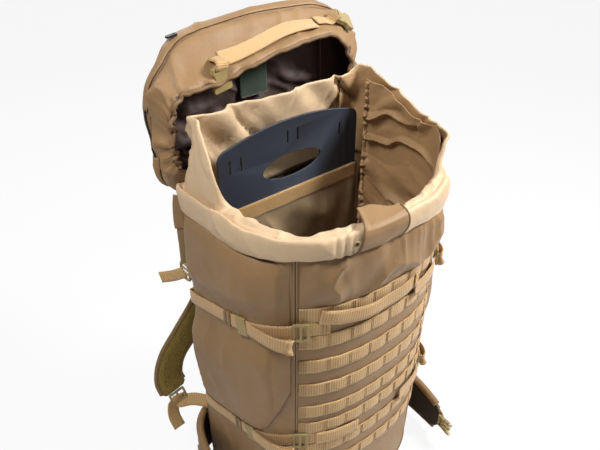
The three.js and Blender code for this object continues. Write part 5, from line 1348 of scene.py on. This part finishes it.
def hip_wings():
    for side, sign in SIDES:
        body = f"hip_wing_{side}"
        line = bend(np.stack([sign * WING_OUT, WING_Y, WING_Z], -1), 60)[0]
        along = unit(np.gradient(line, axis=0) * [1, 1, 0])
        up = np.broadcast_to([0, 0, 1.0], line.shape)
        out = np.stack([sign * along[:, 1], -sign * along[:, 0], 0 * along[:, 0]], -1)
        outward = 1 if out[30, 0] * sign > 0 else -1
        s = np.linspace(0, 1, 60)
        tip = np.minimum(1, (1 - s) * 14 + 0.5)
        tall = np.interp(s, np.linspace(0, 1, 8), WING_TALL)
        points, faces = swept(line, up, out, tall * 0.95 * np.minimum(1, tip + 0.15), 0.0135 * tip, 20)

        def inner(centres, normals, line=line[::4, :2], out=out[::4, :2] * -outward):
            near = ((centres[:, None, :2] - line[None]) ** 2).sum(-1).argmin(1)
            return ((normals[:, :2] * out[near]).sum(-1) > 0.3).astype(int)

        # faces turned in towards the bag take the darker copy of the mesh lining as painted shade
        piece = puff(f"hip_pad_{side}", points, faces, [BODY_DARK, MESH_SHADED], body, pressure=3, cap=0.004,
                     voxel=0.0045, frames=8, slots=inner)
        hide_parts(f"hip_wing_{side}")
        for k, edge, radius, material in ((1, -1, 0.0048, TAPE_DARK), (2, 1, 0.0075, BODY)):
            rim = line + up * (edge * tall[:, None] * 0.475 * np.minimum(1, tip + 0.15)[:, None])
            tube(f"hip_binding_{side}_{k}", rim[::3], radius, material, body, count=110, sides=8)
        face = line + out * outward * 0.0098
        tape_piece(f"hip_tape_{side}", face[18::3], (0, 0, 1), 0.038, TAPE, body, count=70)
        low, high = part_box(f"hip_buckle_{side}")
        tip_end = lerp(line[-1], np.array((low + high) / 2), 0.6)
        ends = [face[-4], line[-1] + out[-1] * outward * 0.006, tip_end]
        end_tape = tape_piece(f"hip_end_tape_{side}", ends, (0, 0, 1), 0.030, TAPE, None, count=24)
        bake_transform(end_tape)


def rear_corner():
    """Lifter strap down the rear seam, with its ladder lock and tail."""
    for side, sign in SIDES:
        at = CORNER_AT - 0.004
        z = np.array([0.604, 0.570, 0.535, 0.500])
        p = wall(sign * at, z, np.array([0.003, 0.0055, 0.0055, 0.006]))
        tape_piece(f"rear_{side}_tape", p, unit([sign * 0.5, 0.87, 0]), 0.020, TAPE_DARK, count=40)
        z = np.array([0.632, 0.612, 0.590, 0.572])
        p = wall(sign * at, z, np.array([0.004, 0.0065, 0.0075, 0.0070]))
        tape_piece(f"rear_{side}_flap", p, unit([sign * 0.7, 0.7, 0]), 0.021, BODY, count=40, thick=0.0022,
                   ripple=0.0015, seed=14)
        lock = wall(sign * at, 0.487, 0.0085)
        frame_line = [lock + np.array([0, dy, dz]) for dy, dz in
                      ((-0.011, 0.013), (0.011, 0.013), (0.011, -0.013), (-0.011, -0.013), (-0.011, 0.013))]
        tube(f"rear_{side}_lock", frame_line, 0.0024, OLIVE, count=60, sides=8)
        for k in (0, 1):
            bar = lock + np.array([0, 0, 0.004 - 0.009 * k])
            ends = [bar - [0, 0.011, 0], bar + [0, 0.011, 0]]
            tube(f"rear_{side}_bar_{k + 1}", ends, 0.0019, OLIVE, count=8)
        tail = lock + np.array([[0, 0.004, -0.004], [sign * 0.012, 0.020, -0.014],
                                [sign * 0.026, 0.040, -0.022]])
        tape_piece(f"rear_{side}_tab", tail, (0.0, 0.15, 1), 0.020, TAPE, count=30, thick=0.0028)


# Stage
def camera():
    data = bpy.data.cameras.new("camera")
    data.lens, data.sensor_width = 38.4, 36.0
    obj = bpy.data.objects.new("camera", data)
    azimuth, pitch = math.radians(-41.0), math.radians(32.0)
    heading = Vector((-math.sin(azimuth), math.cos(azimuth), 0))
    look = heading * math.cos(pitch) - Vector((0, 0, math.sin(pitch)))
    obj.rotation_euler = look.to_track_quat("-Z", "Y").to_euler()
    obj.location = (-0.6138, -0.6360, 1.1160)
    bpy.context.collection.objects.link(obj)
    bpy.context.scene.camera = obj


def lamp(name, place, target, size, power):
    data = bpy.data.lights.new(name, "AREA")
    data.shape, data.size, data.energy = "DISK", size, power
    obj = bpy.data.objects.new(name, data)
    obj.location = place
    obj.rotation_euler = (Vector(target) - Vector(place)).to_track_quat("-Z", "Y").to_euler()
    bpy.context.collection.objects.link(obj)


def stage():
    world = bpy.data.worlds.new("studio")
    world.use_nodes = True
    tree = world.node_tree
    back = tree.nodes["Background"]
    back.inputs["Color"].default_value = (1, 1, 1, 1)
    path = tree.nodes.new("ShaderNodeLightPath")
    seen, both = tree.nodes.new("ShaderNodeMath"), tree.nodes.new("ShaderNodeMath")
    seen.operation = both.operation = "MAXIMUM"
    for source, target in ((path.outputs["Is Camera Ray"], seen.inputs[0]),
                           (path.outputs["Is Glossy Ray"], seen.inputs[1]), (seen.outputs[0], both.inputs[0]),
                           (path.outputs["Is Transmission Ray"], both.inputs[1])):
        tree.links.new(source, target)
    strength = tree.nodes.new("ShaderNodeMix")
    strength.inputs[2].default_value, strength.inputs[3].default_value = 0.15, 1.0
    tree.links.new(both.outputs[0], strength.inputs[0])
    tree.links.new(strength.outputs[0], back.inputs["Strength"])
    bpy.context.scene.world = world
    lamp("key", (1.05, -0.80, 1.70), (0, 0, 0.55), 0.45, 44)
    lamp("side", (-0.80, -0.05, 1.75), (0, 0, 0.75), 0.45, 14)
    lamp("rear", (0.4, 1.9, 1.9), (0, 0.1, 0.5), 1.0, 12)

    floor = Shader("floor", 0.9)
    floor.base.inputs["Base Color"].default_value = (0.93, 0.93, 0.93, 1)
    glow = floor.add("ShaderNodeEmission")
    lit = floor.add("ShaderNodeLightPath")
    mixer = floor.add("ShaderNodeMixShader")
    level = floor.math("MULTIPLY", lit.outputs["Is Camera Ray"], 0.90)
    floor.link(level, mixer.inputs[0])
    floor.link(floor.base.outputs[0], mixer.inputs[1])
    floor.link(glow.outputs[0], mixer.inputs[2])
    out = [n for n in floor.tree.nodes if n.type == "OUTPUT_MATERIAL"][0]
    floor.link(mixer.outputs[0], out.inputs["Surface"])
    corners = [(30.0 * x, 30.0 * y, 0) for x, y in ((-1, -1), (1, -1), (1, 1), (-1, 1))]
    ground = build("floor", corners, [(0, 1, 2, 3)], floor.material, None)


def paint_kept():
    """Finishes of the rigid pieces, which keep their own shapes."""
    for name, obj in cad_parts.items():
        if obj.hide_render:
            continue
        if name == "frame_sheet":
            material = SHEET
        elif name.startswith("lid_zip"):
            material = BLACK
        else:
            material = OLIVE
        for slot in obj.material_slots:
            slot.material = material
        if not obj.material_slots:
            obj.data.materials.append(material)


bpy.context.scene.view_settings.view_transform = "Standard"
for make in (camera, stage, body_walls, seam_lines, base_pan, front_rows, side_pockets, compression_straps,
             collar_piece, inner_gusset, storm_tab, sleeve_pieces, lid_pieces, lid_fill, lid_details,
             lid_tape, shoulder_straps, sternum, back_pieces, hip_wings, rear_corner, paint_kept):
    make()
